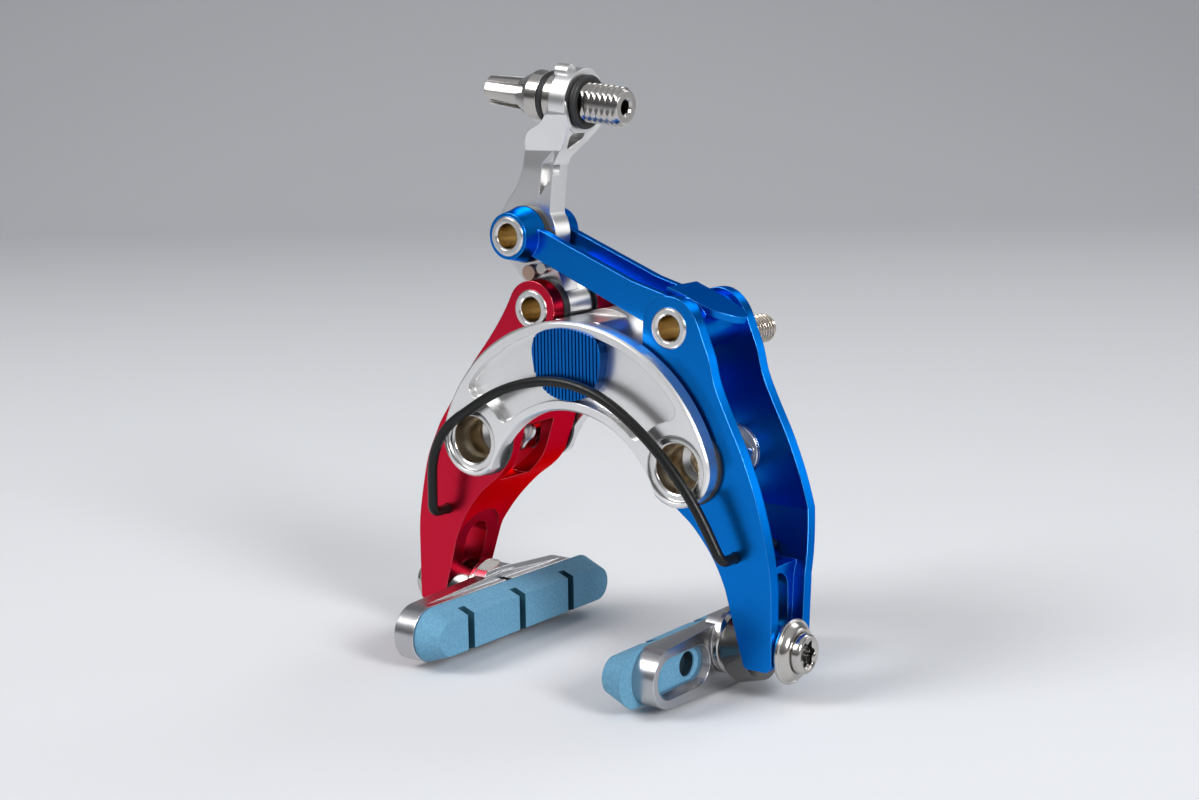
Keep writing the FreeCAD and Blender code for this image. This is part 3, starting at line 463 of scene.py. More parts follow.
def key_hole_shade_share(tree, side, way, axes):
    """1 inside the round hole that locks the pad in its holder, 0 elsewhere."""
    bolt_low, bolt_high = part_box(side + "_pad_bolt")
    pad_low, pad_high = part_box(side + "_pad")
    hole_y = (bolt_low.y + bolt_high.y) / 2 - way * KEY["from_bolt"]
    flat = tree.nodes.new("ShaderNodeCombineXYZ")
    for axis in ("Y", "Z"):
        tree.links.new(axes[axis], flat.inputs[axis])
    away = tree.nodes.new("ShaderNodeVectorMath")
    away.operation = "DISTANCE"
    away.inputs[1].default_value = (0.0, hole_y, (pad_low.z + pad_high.z) / 2)
    tree.links.new(flat.outputs[0], away.inputs[0])
    inside = to_range(tree, away.outputs["Value"], [KEY["r"] * rim for rim in KEY_RIM])
    outer = max(abs(pad_low.x), abs(pad_high.x))
    depth = reckon(tree, "ABSOLUTE", axes["X"])
    in_hole = reckon(tree, "COMPARE", depth, outer - KEY["middle"], KEY["half_depth"])
    return reckon(tree, "MULTIPLY", inside, in_hole)


def groove_shade_share(tree, side, way, axes):
    """1 inside the cross grooves of the braking face, 0 elsewhere."""
    low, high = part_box(side + "_pad")
    middle = (low.y + high.y) / 2 + way * GROOVE["shift"]
    from_middle = reckon(tree, "SUBTRACT", axes["Y"], middle)
    nearest = reckon(tree, "PINGPONG", from_middle, GROOVE["pitch"] / 2)
    inside = to_range(tree, nearest, (GROOVE["half"] * GROOVE_RIM, GROOVE["half"]))
    floor = min(abs(low.x), abs(high.x)) + GROOVE["floor"]
    depth = reckon(tree, "ABSOLUTE", axes["X"])
    near_face = to_range(tree, depth, (floor + GROOVE["fade"], floor))
    return reckon(tree, "MULTIPLY", inside, near_face)


print("groove pitch", GROOVE["pitch"] / MM, "key hole radius", KEY["r"] / MM)

# %% Pad compound
# The groove and hole colours are painted shade; low and high are the speckle of the compound.
PAD_BLUE = {"mean": (0.115, 0.30, 0.455), "low": (0.10, 0.27, 0.415), "high": (0.15, 0.36, 0.52),
            "groove": (0.004, 0.060, 0.10), "hole": (0.002, 0.018, 0.03)}
PAD_SKIN = {"grain": 1800.0, "rough_span": (0.72, 0.95), "edge_mm": 0.35, "bump": 0.5}
PAD_ROUGHNESS = 0.8
PAD_SPECK_SPAN = (0.35, 0.7)


def pad_finish(side, way):
    made = new_finish(side + "_pad_compound", PAD_BLUE["mean"], 0.0, PAD_ROUGHNESS)
    tree = made.node_tree
    noise, _ = add_grain(made, **PAD_SKIN)
    speck = to_range(tree, noise, PAD_SPECK_SPAN)
    face = mix_colours(tree, speck, PAD_BLUE["low"], PAD_BLUE["high"])
    axes = object_axes(tree)
    # Painted shade in the cross grooves and in the key hole.
    face = mix_colours(tree, groove_shade_share(tree, side, way, axes), face, PAD_BLUE["groove"])
    face = mix_colours(tree, key_hole_shade_share(tree, side, way, axes), face, PAD_BLUE["hole"])
    tree.links.new(face, shader_of(made).inputs["Base Color"])
    return made


pad_rubber = {"left": pad_finish("left", -1), "right": pad_finish("right", 1)}
print("pad finishes", [m.name for m in pad_rubber.values()])

# %% [markdown]
# The badge is a blue shield with fine upright grooves. The grooves are cut further down, as a shape;
# the finish paints shade into them, darker where the front is deep, which Y tells.

# %% Grooved badge finish
BADGE = {"pitch": 0.78, "rib": 0.46, "slope": 0.06, "depth": 0.30, "inset": 0.02}
# Painted shade in the badge's grooves: the colour darkens from this depth to the groove floor.
BADGE_SHADE_FROM = 0.1
BADGE_GROOVE_SHADE = (0.001, 0.05, 0.22)


def badge_finish():
    made = metal("grooved_blue", (0.004, 0.15, 0.56), 0.3, painted_highlight=(0.03, 0.24, 0.72), edge_mm=0.05)
    tree = made.node_tree
    colour = shader_of(made).inputs["Base Color"]
    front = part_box("badge")[0].y
    depths = (front + BADGE_SHADE_FROM * MM, front + BADGE["depth"] * MM)
    # Painted shade: darker where the front lies deeper in a groove.
    groove_shade = to_range(tree, object_axes(tree)["Y"], depths)
    face = mix_colours(tree, groove_shade, colour.links[0].from_socket, BADGE_GROOVE_SHADE)
    tree.links.new(face, colour)
    return made


badge_blue = badge_finish()
print("badge finish", badge_blue.name)

# %% [markdown]
# ## Finishes on the solids
# Most solids already have the right shape, so they only change their material. The list follows the
# brake from the bridge outwards. Solids that a finer piece stands for further down get their finish
# too, so that the bare solids can be looked at as well.

# %% Give each solid its finish
solid_finish = {
    "bridge_front": pale_silver, "bridge_core": silver, "badge": badge_blue,
    "mounting_stud": stud_steel, "return_spring": wire_black, "thrust_washers": washer_black,
    "right_arm": blue, "left_arm": red, "left_knee_pin": steel, "right_knee_pin": steel,
    "left_knee_washers": washer_black, "swing_lever": lever_silver, "lever_pin_large": copper,
    "lever_pin_small": steel, "elbow_pin": steel, "elbow_washers": washer_black, "top_link": blue,
    "adjuster_barrel": steel, "adjuster_grip": steel, "adjuster_rings": ring_black,
}
for side in ("left", "right"):
    solid_finish.update({
        side + "_axle": steel, side + "_axle_nut": slate_shade, side + "_pad": pad_rubber[side],
        side + "_pad_holder": holder_silver, side + "_pad_bolt": steel,
        side + "_flange_washer": steel, side + "_dome_washer": steel,
        side + "_cup_washer": blackened_and_shade_steel,
    })
for name, made in solid_finish.items():
    nodes[name].data.materials.clear()
    nodes[name].data.materials.append(made)
print("solids finished", len(solid_finish), "of", len(nodes))

# %% [markdown]
# ## Turned parts
# Pins, axles and bolts come off a lathe. A cylinder with a bevel modifier would give plain chamfers
# only, so each is a profile of radius and distance spun about an axis, with small roundings that
# catch the light and a bore lined with another metal. A third number at a step of the profile makes
# the radius wave as it goes round, which is all that a star socket or a square block needs.

# %% Spin a profile
SPIN_STEPS = 72
TURNED_EDGE = math.radians(32.0)


def axis_frame(origin, axis, across):
    """Matrix that sends Z to the axis and X to the direction across it."""
    z = Vector(axis).normalized()
    x = Vector(across).normalized()
    return Matrix.Translation(origin) @ Matrix((x, z.cross(x), z)).transposed().to_4x4()


def turned(profile, closed=True, coats=None, lobes=6):
    """Mesh spun about Z from steps of radius, distance and, where it waves, swell.

    Sizes are in millimetres. A coat gives a step of the profile another finish of the piece.
    """
    coats = coats or {}
    work = bmesh.new()
    rings = []
    for radius, along, *swell in profile:
        ring = []
        for i in range(SPIN_STEPS):
            a = 2 * math.pi * i / SPIN_STEPS
            r = radius * (1.0 + sum(swell) * math.cos(lobes * a)) * MM
            ring.append(work.verts.new((r * math.cos(a), r * math.sin(a), along * MM)))
        rings.append(ring)
    pairs = list(zip(rings, rings[1:]))
    if closed:
        pairs.append((rings[-1], rings[0]))
    for step, (one, two) in enumerate(pairs):
        for i in range(SPIN_STEPS):
            k = (i + 1) % SPIN_STEPS
            face = work.faces.new((one[i], one[k], two[k], two[i]))
            face.material_index = coats.get(step, 0)
    if not closed:
        work.faces.new(rings[0])
        work.faces.new(rings[-1]).material_index = coats.get(len(pairs) - 1, 0)
    bmesh.ops.recalc_face_normals(work, faces=work.faces)
    mesh = bpy.data.meshes.new("turned")
    work.to_mesh(mesh)
    work.free()
    mesh.shade_smooth()
    mesh.set_sharp_from_angle(angle=TURNED_EDGE)
    return mesh


print("lathe ready,", SPIN_STEPS, "steps")

# %% Put a piece on its body
def add_piece(name, mesh, finishes, body, slot, node):
    """A finished piece at the origin, riding on a body in place of a node."""
    mesh.name = name
    for made in finishes:
        mesh.materials.append(made)
    piece = bpy.data.objects.new(name, mesh)
    bpy.context.scene.collection.objects.link(piece)
    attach(piece, body)
    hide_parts(node)
    print(name, "faces", len(mesh.polygons), "rides on", body)


def add_turned(name, mesh, place, finishes, body, node):
    """A turned piece, moved from the lathe to its place on the brake."""
    mesh.transform(place)
    add_piece(name, mesh, finishes, body, "polished_steel", node)


print("helpers:", [f.__name__ for f in (add_piece, add_turned)])

# %% [markdown]
# The three link pins are hollow, with a bright flat ring at each end and a bronze bore. Their places
# and sizes come from the boxes of the solids that they stand for.

# %% Hollow link pins
PIN_BORE = 2.3
PIN_LIP = 0.3


def link_pin(node, body):
    low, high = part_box(node)
    r = (high.x - low.x) / MM / 2
    half = (high.y - low.y) / MM / 2
    front_end = [(PIN_BORE, -half + PIN_LIP), (PIN_BORE + PIN_LIP, -half), (r - PIN_LIP, -half),
                 (r, -half + PIN_LIP)]
    rear_end = [(radius, -along) for radius, along in reversed(front_end)]
    bore_step = len(front_end + rear_end) - 1
    mesh = turned(front_end + rear_end, coats={bore_step: 1})
    place = axis_frame((low + high) / 2, (0, 1, 0), (1, 0, 0))
    add_turned(node + "_turned", mesh, place, (bright_steel, bronze), body, node)


link_pin("elbow_pin", "top_link")
link_pin("left_knee_pin", "left_arm")
link_pin("right_knee_pin", "right_arm")

# %% [markdown]
# The two pivot axles are wide cups with a rolled lip, sunk into the ends of the crescent. Inside the
# cup a smaller bore goes right through. Behind the front plate of the arm the axle is slimmer, and a
# square nut with a thin disc sits on it against the rear plate: the disc shows deep in the channel,
# and the shade there is painted on its face as a dark slate blue.
# Both are turned. The nut's block is a circle that waves four times round, which gives a square with
# soft corners in the same lathe.

# %% Pivot axles
AXLE = {"lip_r": 6.0, "lip_t": 1.0, "r": 5.0, "mouth_r": 4.4, "mouth_depth": 9.0, "bore_r": 2.6,
        "round": 0.35, "plate": 2.4, "slim_r": 2.9, "neck_from": 2.0, "neck_to": 3.0, "slack": 0.02}
# Steps outwards from the mouth, each with its distance behind the front end.
AXLE_MOUTH_LIP = ((0.0, 0.5), (0.12, 0.2), (0.4, 0.0))
AXLE_RIM_STEP = (0.08, 0.12)
AXLE_LINED_STEPS = (0, 1, 2, 18)


def axle_place(side):
    low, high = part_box(side + "_axle")
    return axis_frame(Vector(((low.x + high.x) / 2, low.y, (low.z + high.z) / 2)), (0, 1, 0), (1, 0, 0))


def channel_span(side):
    """Inner faces of the arm's two plates, in millimetres behind the axle's front end."""
    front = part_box(side + "_axle")[0].y
    arm_low, arm_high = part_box(side + "_arm")
    return (arm_low.y - front) / MM + AXLE["plate"], (arm_high.y - front) / MM - AXLE["plate"]


def pivot_axle(side):
    low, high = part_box(side + "_axle")
    length = (high.y - low.y) / MM
    near, far = channel_span(side)
    soft = AXLE["round"]
    bore, mouth, lip, slim = (AXLE[k] for k in ("bore_r", "mouth_r", "lip_r", "slim_r"))
    wide, depth, seat = AXLE["r"], AXLE["mouth_depth"], far - AXLE["slack"]
    rim_in, rim_back = AXLE_RIM_STEP
    profile = [(bore, depth), (mouth - soft, depth), (mouth, depth - soft)]
    profile += [(mouth + out, along) for out, along in AXLE_MOUTH_LIP]
    profile += [(lip - soft, 0.0), (lip - rim_in, rim_back), (lip, soft), (lip, AXLE["lip_t"]),
                (wide, AXLE["lip_t"]), (wide, near + AXLE["neck_from"]),
                (slim, near + AXLE["neck_to"]), (slim, seat), (wide, seat), (wide, length - soft),
                (wide - soft, length), (bore + soft, length), (bore, length - soft)]
    mesh = turned(profile, coats=dict.fromkeys(AXLE_LINED_STEPS, 1))
    add_turned(side + "_axle_turned", mesh, axle_place(side), (bright_steel, cup_lining), "bridge",
               side + "_axle")


print("axle cup", 2 * AXLE["mouth_r"], "mm wide; channel of the left arm",
      [round(x, 2) for x in channel_span("left")])

# %% Nuts on the axles
NUT = {"block_r": 3.95, "square": 0.12, "block_t": 5.0, "block_edge": 0.4, "disc_r": 5.0,
       "disc_t": 0.7, "disc_edge": (0.25, 0.2), "off_plate": 0.05, "slack": 0.02}
# Painted shade: the front face of the disc takes the dark slate finish.
NUT_SHADE_FACE = 3


def axle_nut(side):
    back_face = channel_span(side)[1] - NUT["off_plate"]
    disc = back_face - NUT["disc_t"]
    block = disc - NUT["block_t"]
    inner = AXLE["slim_r"] + NUT["slack"]
    edge, square = NUT["block_edge"], NUT["square"]
    disc_in, disc_back = NUT["disc_edge"]
    profile = [(inner, block), (NUT["block_r"] - edge, block, square),
               (NUT["block_r"], block + edge, square), (NUT["block_r"], disc, square),
               (NUT["disc_r"] - disc_in, disc), (NUT["disc_r"], disc + disc_back),
               (NUT["disc_r"], back_face), (inner, back_face)]
    mesh = turned(profile, coats={NUT_SHADE_FACE: 1}, lobes=4)
    add_turned(side + "_axle_nut_block", mesh, axle_place(side), (bright_steel, slate_shade), "bridge",
               side + "_axle_nut")


for side in ("left", "right"):
    pivot_axle(side)
    axle_nut(side)

# %% [markdown]
# The front of the badge is a row of ribs. A node tree could repeat one rib, but every rib ends on the
# curved outline of the shield. So a cut through the solid at one X gives the top and the bottom of
# the shield there, and a walk across X puts each column of points on a rib or down in a groove.
# Joined from column to column they make one closed, folded body with the outline of the solid.

# %% Ribs of the badge
SHORTEST_RUN = 1e-9


def shield_reach(x):
    """Lowest and highest point of the badge in the upright cut at x."""
    solid = nodes["badge"].data
    heights = []
    for edge in solid.edges:
        one, two = (solid.vertices[i].co for i in edge.vertices)
        if (one.x - x) * (two.x - x) <= 0 and abs(two.x - one.x) > SHORTEST_RUN:
            heights.append(one.z + (x - one.x) / (two.x - one.x) * (two.z - one.z))
    return min(heights), max(heights)


def badge_columns():
    """The places in X of the points across the badge, each with its depth in Y."""
    low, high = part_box("badge")
    pitch, rib, slope, depth, inset = (
        BADGE[k] * MM for k in ("pitch", "rib", "slope", "depth", "inset"))
    floor = low.y + depth
    grooves = int((high.x - low.x - rib) / pitch)
    first = (low.x + high.x) / 2 - (grooves * pitch + rib) / 2
    columns = [(low.x + inset, low.y)]
    for k in range(grooves):
        start = first + k * pitch
        columns += [(start + rib, low.y), (start + rib + slope, floor),
                    (start + pitch - slope, floor), (start + pitch, low.y)]
    columns.append((high.x - inset, low.y))
    print("badge ribs", grooves + 1)
    return columns


def ribbed_badge():
    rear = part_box("badge")[1].y
    work = bmesh.new()
    rows = []
    for x, y in badge_columns():
        bottom, top = shield_reach(x)
        corners = ((x, y, bottom), (x, y, top), (x, rear, top), (x, rear, bottom))
        rows.append([work.verts.new(c) for c in corners])
    for one, two in zip(rows, rows[1:]):
        for i in range(4):
            k = (i + 1) % 4
            work.faces.new((one[i], two[i], two[k], one[k]))
    work.faces.new(rows[0])
    work.faces.new(rows[-1])
    bmesh.ops.recalc_face_normals(work, faces=work.faces)
    mesh = bpy.data.meshes.new("badge_ribbed")
    work.to_mesh(mesh)
    work.free()
    add_piece("badge_ribbed", mesh, (badge_blue,), "bridge", "blue_alloy", "badge")


ribbed_badge()

# %% [markdown]
# A pad bolt has a low dome with a star socket and sits in a dished washer with a raised rim. The
# solids have the plain shapes; here the dome is round, the dish has its two steps, and the star has
# six soft lobes, with shade painted dark on its deep walls and floor. The steps are measured from
# the rim and from the tip, so that the same list serves both sides. The left side looks the other way.

# %% Pad bolts
SHANK_R = 3.0
SHANK_EDGE = 0.5
# The dome: in from the rim and down from the tip. The star: radius, down from the tip, swell.
DOME_STEPS = ((0.0, 0.65), (0.07, 0.35), (0.25, 0.12), (0.5, 0.0), (0.75, 0.02))
STAR_STEPS = ((2.68, 0.12, 0.0), (2.3, 0.2, 0.09), (2.12, 0.3, 0.16), (2.08, 0.5, 0.17),
              (2.05, 1.35, 0.17), (0.8, 1.5, 0.0))
# Painted shade: the deep walls and the floor of the star socket take the dark steel.
STAR_SHADE_STEPS = (12, 13)


def ends_outwards(node, way):
    """Inner and outer end along X, in millimetres from the middle of the brake."""
    low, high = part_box(node)
    return sorted((way * low.x / MM, way * high.x / MM))


def outward_place(node, way):
    low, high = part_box(node)
    middle = (low + high) / 2
    return axis_frame(Vector((0, middle.y, middle.z)), (way, 0, 0), (0, 1, 0))


def rim_radius(node):
    low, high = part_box(node)
    return (high.y - low.y) / MM / 2


def pad_bolt(side, way):
    node = side + "_pad_bolt"
    inner, tip = ends_outwards(node, way)
    seat = ends_outwards(side + "_flange_washer", way)[1]
    head_r = rim_radius(node)
    profile = [(SHANK_R - SHANK_EDGE, inner), (SHANK_R, inner + SHANK_EDGE), (SHANK_R, seat),
               (head_r, seat)]
    profile += [(head_r - rim, tip - drop) for rim, drop in DOME_STEPS]
    profile += [(r, tip - drop, swell) for r, drop, swell in STAR_STEPS]
    mesh = turned(profile, closed=False, coats=dict.fromkeys(STAR_SHADE_STEPS, 1))
    add_turned(node + "_turned", mesh, outward_place(node, way), (steel, blackened_and_shade_steel), side + "_pad",
               node)


print("bolt head", round(2 * rim_radius("right_pad_bolt"), 2), "mm wide")

# %% Dished washers under the bolts
WASHER_BORE = 3.05
# In from the rim and up from the seat, in from the rim and down from the tip, radius and down.
WASHER_RIM = ((0.5, 0.0), (0.12, 0.1), (0.0, 0.3), (0.0, 0.65), (0.12, 0.85), (0.4, 0.95),
              (0.55, 0.85), (0.65, 0.95), (0.8, 1.35))
WASHER_SHOULDER = ((1.1, 0.5), (1.5, 0.17))
WASHER_CROWN = ((4.0, 0.0), (3.8, 0.03), (3.7, 0.2), (WASHER_BORE, 0.2))


def flange_washer(side, way):
    node = side + "_flange_washer"
    seat, tip = ends_outwards(node, way)
    r = rim_radius(node)
    profile = [(WASHER_BORE, seat)]
    profile += [(r - rim, seat + rise) for rim, rise in WASHER_RIM]
    profile += [(r - rim, tip - drop) for rim, drop in WASHER_SHOULDER]
    profile += [(radius, tip - drop) for radius, drop in WASHER_CROWN]
    add_turned(node + "_turned", turned(profile), outward_place(node, way), (steel,), side + "_pad",
               node)


for side, way in (("right", 1), ("left", -1)):
    pad_bolt(side, way)
    flange_washer(side, way)

# %% [markdown]
# ## Threads
# A thread is one surface: a sheet rolled round the axis, whose radius rises and falls with the turn
# and the distance together. Geometry Nodes say that rule directly. A grid is rolled up, the phase of
# the thread comes from distance over pitch minus the share of the turn, and a flat cuts across it
# where the real barrel is milled. The same recipe serves the mounting stud and the cable barrel.

# %% Geometry node helpers
def tree_with_inputs(name, inputs):
    tree = bpy.data.node_groups.new(name, "GeometryNodeTree")
    for label, kind, value in inputs:
        socket = tree.interface.new_socket(name=label, in_out="INPUT", socket_type=kind)
        socket.default_value = value
    tree.interface.new_socket(name="Geometry", in_out="OUTPUT", socket_type="NodeSocketGeometry")
    return tree, tree.nodes.new("NodeGroupInput"), tree.nodes.new("NodeGroupOutput")


def finish_tree(tree, geometry, made, last):
    """Shade smooth, realize, set the material: the end of every tree here."""
    smooth = tree.nodes.new("GeometryNodeSetShadeSmooth")
    real = tree.nodes.new("GeometryNodeRealizeInstances")
    coat = tree.nodes.new("GeometryNodeSetMaterial")
    coat.inputs["Material"].default_value = made
    tree.links.new(geometry, smooth.inputs["Geometry"])
    tree.links.new(smooth.outputs[0], real.inputs["Geometry"])
    tree.links.new(real.outputs[0], coat.inputs["Geometry"])
    tree.links.new(coat.outputs[0], last.inputs["Geometry"])


def outwards(mesh):
    """The same mesh with its faces turned to the outside."""
    work = bmesh.new()
    work.from_mesh(mesh)
    bmesh.ops.recalc_face_normals(work, faces=work.faces)
    work.to_mesh(mesh)
    work.free()
    return mesh


def grown(name, tree, sizes, start=None):
    """The plain mesh that a tree makes, with its named inputs set by identifier."""
    holder = bpy.data.objects.new(name, start or bpy.data.meshes.new(name))
    bpy.context.scene.collection.objects.link(holder)
    modifier = holder.modifiers.new("grow", "NODES")
    modifier.node_group = tree
    for item in tree.interface.items_tree:
        if item.in_out == "INPUT" and item.name in sizes:
            modifier[item.identifier] = sizes[item.name]
    bpy.context.view_layer.update()
    shown = holder.evaluated_get(bpy.context.evaluated_depsgraph_get())
    mesh = bpy.data.meshes.new_from_object(shown)
    holder.modifiers.remove(modifier)
    bpy.data.objects.remove(holder)
    return outwards(mesh)


print("helpers:", [f.__name__ for f in (tree_with_inputs, finish_tree, outwards, grown)])

# %% Thread tree
THREAD_FLANK = (0.10, 0.42)
SEAM_GAP = 0.001 * MM


def thread_tree(made):
    tree, first, last = tree_with_inputs("thread_" + made.name, [
        ("Crest radius", "NodeSocketFloat", 0.003), ("Depth", "NodeSocketFloat", 0.0005),
        ("Pitch", "NodeSocketFloat", 0.001), ("From", "NodeSocketFloat", 0.0),
        ("To", "NodeSocketFloat", 0.02), ("Chamfer", "NodeSocketFloat", 0.0007),
        ("Flat", "NodeSocketFloat", 1.0), ("Rows", "NodeSocketInt", 200)])
    size = first.outputs
    grid = add_node(tree, "GeometryNodeMeshGrid", Size_X=1.0, Size_Y=1.0, Vertices_X=SPIN_STEPS + 1)
    tree.links.new(size["Rows"], grid.inputs["Vertices Y"])
    place = tree.nodes.new("ShaderNodeSeparateXYZ")
    tree.links.new(tree.nodes.new("GeometryNodeInputPosition").outputs[0], place.inputs[0])
    # The grid reaches half a unit to each side, so a half is added to count from its edge.
    share = reckon(tree, "ADD", place.outputs["X"], 0.5)
    length = reckon(tree, "SUBTRACT", size["To"], size["From"])
    row = reckon(tree, "ADD", place.outputs["Y"], 0.5)
    along = reckon(tree, "MULTIPLY_ADD", row, length, size["From"])
    phase = reckon(tree, "SUBTRACT", reckon(tree, "DIVIDE", along, size["Pitch"]), share)
    groove = to_range(tree, reckon(tree, "PINGPONG", phase, 0.5), THREAD_FLANK)
    cut = reckon(tree, "MULTIPLY", groove, size["Depth"])
    ridge = reckon(tree, "SUBTRACT", size["Crest radius"], cut)
    chamfer_from = reckon(tree, "SUBTRACT", size["To"], size["Chamfer"])
    past = reckon(tree, "MAXIMUM", reckon(tree, "SUBTRACT", along, chamfer_from), 0.0)
    limit = reckon(tree, "SUBTRACT", size["Crest radius"], past)
    radius = reckon(tree, "MINIMUM", ridge, limit)
    angle = reckon(tree, "MULTIPLY", share, 2 * math.pi)
    x = reckon(tree, "MULTIPLY", radius, reckon(tree, "COSINE", angle))
    x = reckon(tree, "MINIMUM", x, size["Flat"])
    x = reckon(tree, "MAXIMUM", x, reckon(tree, "MULTIPLY", size["Flat"], -1.0))
    y = reckon(tree, "MULTIPLY", radius, reckon(tree, "SINE", angle))
    spot = tree.nodes.new("ShaderNodeCombineXYZ")
    for value, socket in zip((x, y, along), spot.inputs):
        tree.links.new(value, socket)
    rolled = tree.nodes.new("GeometryNodeSetPosition")
    tree.links.new(grid.outputs["Mesh"], rolled.inputs["Geometry"])
    tree.links.new(spot.outputs[0], rolled.inputs["Position"])
    seam = add_node(tree, "GeometryNodeMergeByDistance", Distance=SEAM_GAP)
    tree.links.new(rolled.outputs[0], seam.inputs["Geometry"])
    finish_tree(tree, seam.outputs[0], made, last)
    return tree


stud_thread = thread_tree(stud_steel)
barrel_thread = thread_tree(steel)
print("thread trees", stud_thread.name, barrel_thread.name)

# %% Sheet and core in one mesh
THREAD_EDGE = math.radians(38.0)
THREAD_INPUTS = {"Crest radius": "crest", "Depth": "depth", "Pitch": "pitch", "From": "from",
                 "To": "to", "Chamfer": "chamfer", "Flat": "flat"}


def threaded(name, tree, size, rows, core):
    """A turned core and the thread sheet round it; size is in millimetres."""
    sizes = {label: size[key] * MM for label, key in THREAD_INPUTS.items() if key in size}
    sheet = grown(name, tree, {**sizes, "Rows": rows})
    work = bmesh.new()
    for mesh in (core, sheet):
        work.from_mesh(mesh)
        bpy.data.meshes.remove(mesh)
    whole = bpy.data.meshes.new(name)
    work.to_mesh(whole)
    work.free()
    whole.set_sharp_from_angle(angle=THREAD_EDGE)
    return whole


print("thread inputs", list(THREAD_INPUTS))

# %% [markdown]
# The stud is plain where it passes through the frame of the bicycle and threaded at the rear for its
# nut. The thread sheet is joined to a turned core, so the piece has a root, a shank and an end face.

# %% Threaded mounting stud
STUD = {"root_r": 3.6, "crest": 3.0, "from": 17.0, "chamfer": 0.8, "depth": 0.52, "pitch": 1.0,
        "runout": 0.6, "end_face": 0.02}
STUD_ROWS = 260


def mounting_stud():
    low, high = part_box("mounting_stud")
    size = {**STUD, "to": high.y / MM}
    core_r = size["crest"] - size["depth"]
    core = turned([(size["root_r"], low.y / MM), (size["root_r"], 0.0), (size["crest"], 0.0),
                   (size["crest"], size["from"] - size["runout"]), (core_r, size["from"]),
                   (core_r, size["to"] - size["end_face"]),
                   (size["crest"] - size["chamfer"], size["to"])], closed=False)
    mesh = threaded("stud_thread", stud_thread, size, STUD_ROWS, core)
    mesh.transform(axis_frame(Vector((0, 0, 0)), (0, 1, 0), (1, 0, 0)))
    add_piece("stud_threaded", mesh, (stud_steel,), "bridge", "stud_steel", "mounting_stud")


mounting_stud()

# %% [markdown]
# The cable barrel goes through the eye of the lever. Its threaded end has two milled flats, and the
# hole for the cable runs along its axis. The joint of the adjuster gives the place and the direction,
# so the barrel stays on the axis that it turns on.

# %% Threaded cable barrel
BARREL = {"bore": 1.3, "sleeve": 3.85, "collar": 4.8, "crest": 3.6, "flat": 3.0, "from": 1.8,
          "collar_from": -4.5, "start": -6.5, "to": 11.3, "chamfer": 0.7, "depth": 0.55,
          "pitch": 1.25, "edge": 0.2, "off_eye": 0.05, "under_flat": 0.05, "bore_edge": (0.35, 0.3)}
BARREL_ROWS = 120


def cable_barrel():
    b = BARREL
    collar_to = -b["from"] - b["off_eye"]
    core_r = b["flat"] - b["under_flat"]
    bore_out, bore_back = b["bore_edge"]
    core = turned([(b["bore"], b["start"]), (b["sleeve"], b["start"]),
                   (b["sleeve"], b["collar_from"]), (b["collar"] - b["edge"], b["collar_from"]),
                   (b["collar"], b["collar_from"] + b["edge"]),
                   (b["collar"], collar_to - b["edge"]), (b["collar"] - b["edge"], collar_to),
                   (b["sleeve"], collar_to), (b["sleeve"], b["from"]), (core_r, b["from"]),
                   (core_r, b["to"] - b["chamfer"]), (b["crest"] - b["chamfer"], b["to"]),
                   (b["bore"] + bore_out, b["to"]), (b["bore"], b["to"] - bore_back)])
    mesh = threaded("barrel_thread", barrel_thread, b, BARREL_ROWS, core)
    joint = next(j for j in frame["joints"] if j["name"] == "adjuster_turn")
    mesh.transform(axis_frame(Vector(joint["pos_m"]), joint["axis"], (0, 1, 0)))
    add_piece("cable_barrel_threaded", mesh, (steel,), "adjuster", "polished_steel",
              "adjuster_barrel")


cable_barrel()

# %% [markdown]
# ## Return spring
# One black wire arches over the crescent and hooks into both arms. When the brake closes, each end
# goes with its arm and the middle stays, so the wire is made in two halves that meet on a straight
# run. A bevelled curve object could draw it, but a node tree lets each corner have its own bend: a
# chain of corner points carries the bend radius as an attribute, and the tree rounds the corners and
# draws the wire along them.

# %% Spring tree
BEND_POINTS = 20
WIRE_SIDES = 20


def spring_tree(made):
    tree, first, last = tree_with_inputs("bent_wire", [("Wire radius", "NodeSocketFloat", 0.001)])
    tree.interface.new_socket(name="Corners", in_out="INPUT", socket_type="NodeSocketGeometry")
    tree.interface.move(tree.interface.items_tree["Corners"], 0)
    chain = tree.nodes.new("GeometryNodeMeshToCurve")
    tree.links.new(first.outputs["Corners"], chain.inputs["Mesh"])
    bend = add_node(tree, "GeometryNodeInputNamedAttribute", Name="bend")
    bend.data_type = "FLOAT"
    rounded = tree.nodes.new("GeometryNodeFilletCurve")
    rounded.mode = "POLY"
    rounded.inputs["Count"].default_value = BEND_POINTS
    tree.links.new(chain.outputs["Curve"], rounded.inputs["Curve"])
    tree.links.new(bend.outputs["Attribute"], rounded.inputs["Radius"])
    section = add_node(tree, "GeometryNodeCurvePrimitiveCircle", Resolution=WIRE_SIDES)
    tree.links.new(first.outputs["Wire radius"], section.inputs["Radius"])
    tube = add_node(tree, "GeometryNodeCurveToMesh", Fill_Caps=True)
    tree.links.new(rounded.outputs["Curve"], tube.inputs["Curve"])
    tree.links.new(section.outputs["Curve"], tube.inputs["Profile Curve"])
    finish_tree(tree, tube.outputs["Mesh"], made, last)
    return tree


wire_tree = spring_tree(wire_black)
print("spring tree nodes", len(wire_tree.nodes))

# %% Corners of the spring
WIRE_R = 0.95 * MM
# Corners of the wire seen from the front, in millimetres: X, Z and the radius of the bend there.
LEFT_CORNERS = [(-31.5, -14.8, 16.0), (-13.9, -3.6, 39.0)]
RIGHT_CORNERS = [(3.7, 0.0, 26.0), (24.6, -13.0, 49.0)]
HOOK = {"x": 33.2, "z": -30.3, "bend": 1.8, "lean": 1.5}
PAST_BEND = 0.05

spring_low, spring_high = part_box("return_spring")
lift_y = spring_low.y + WIRE_R
hook_y = lift_y + HOOK["lean"] * MM


def wire_point(x, z, y, bend):
    return (x * MM, y, z * MM, bend * MM)


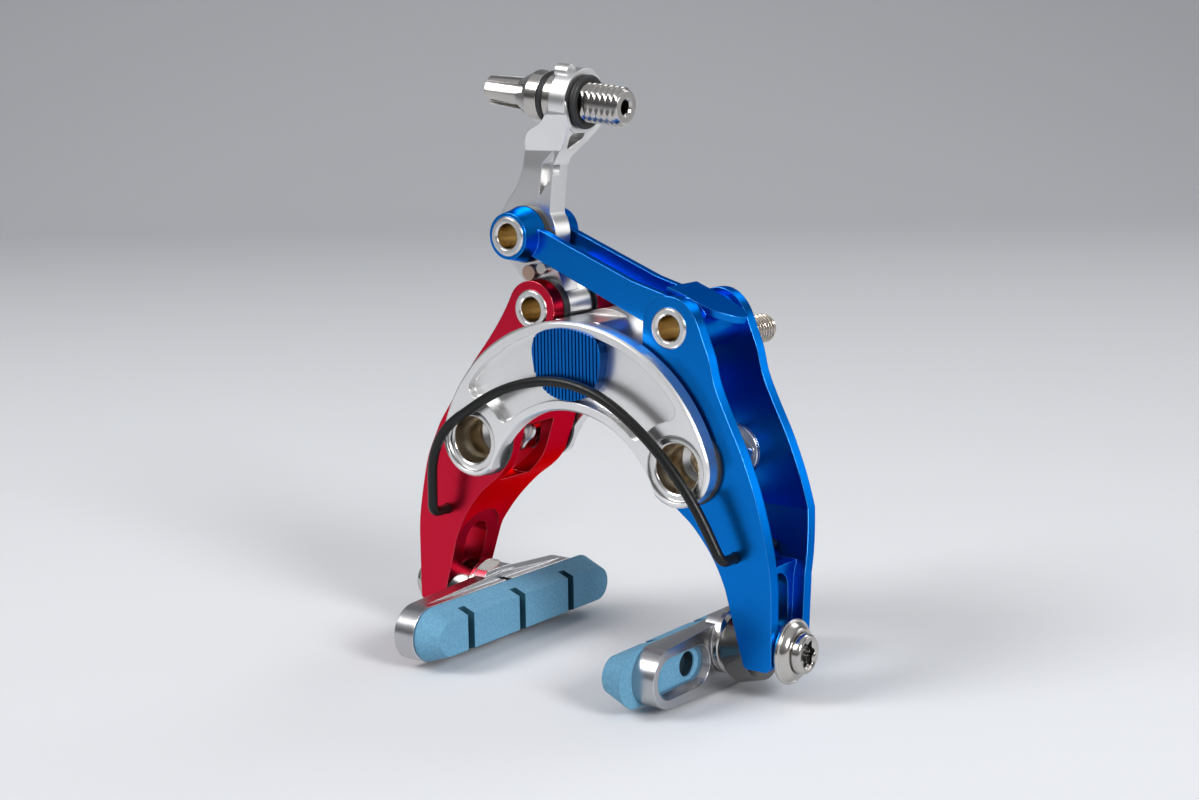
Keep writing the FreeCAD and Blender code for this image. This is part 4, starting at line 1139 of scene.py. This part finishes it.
def hook_points(way):
    """The hooked end of the wire, from its tail to its bend."""
    return [wire_point(way * HOOK["x"], HOOK["z"], spring_high.y, 0.0),
            wire_point(way * HOOK["x"], HOOK["z"], hook_y, HOOK["bend"])]


def meeting_point():
    """Where the halves meet: just past the last bend of the left half."""
    corner = Vector(LEFT_CORNERS[1][:2])
    ahead = (Vector(RIGHT_CORNERS[0][:2]) - corner).normalized()
    behind = (Vector(LEFT_CORNERS[0][:2]) - corner).normalized()
    bend_reach = LEFT_CORNERS[1][2] / math.tan(behind.angle(ahead) / 2)
    meet = corner + ahead * (bend_reach + PAST_BEND)
    return wire_point(meet.x, meet.y, lift_y, 0.0)


left_run = hook_points(-1) + [wire_point(x, z, lift_y, b) for x, z, b in LEFT_CORNERS]
left_run.append(meeting_point())
right_run = [meeting_point()] + [wire_point(x, z, lift_y, b) for x, z, b in RIGHT_CORNERS]
right_run += reversed(hook_points(1))
print("spring halves meet at", in_mm(meeting_point()[:3]))

# %% The two halves of the spring
WIRE_EDGE = math.radians(50.0)
# Where each half leaves the bridge and where it is wholly with its arm.
LEFT_BLEND = ((-0.006, lift_y, -0.002), (-0.0325, lift_y, -0.024))
RIGHT_BLEND = ((0.004, lift_y, -0.002), (0.0325, lift_y, -0.026))


def spring_half(name, corners, body, start, end):
    chain = bpy.data.meshes.new(name + "_chain")
    links = [(i, i + 1) for i in range(len(corners) - 1)]
    chain.from_pydata([c[:3] for c in corners], links, [])
    bends = chain.attributes.new("bend", "FLOAT", "POINT")
    bends.data.foreach_set("value", [c[3] for c in corners])
    mesh = grown(name, wire_tree, {"Wire radius": WIRE_R}, chain)
    mesh.set_sharp_from_angle(angle=WIRE_EDGE)
    mesh.name = name
    half = bpy.data.objects.new(name, mesh)
    bpy.context.scene.collection.objects.link(half)
    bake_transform(half)
    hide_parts("return_spring")
    print(name, "faces", len(mesh.polygons))


spring_half("spring_left", left_run, "left_arm", *LEFT_BLEND)
spring_half("spring_right", right_run, "right_arm", *RIGHT_BLEND)
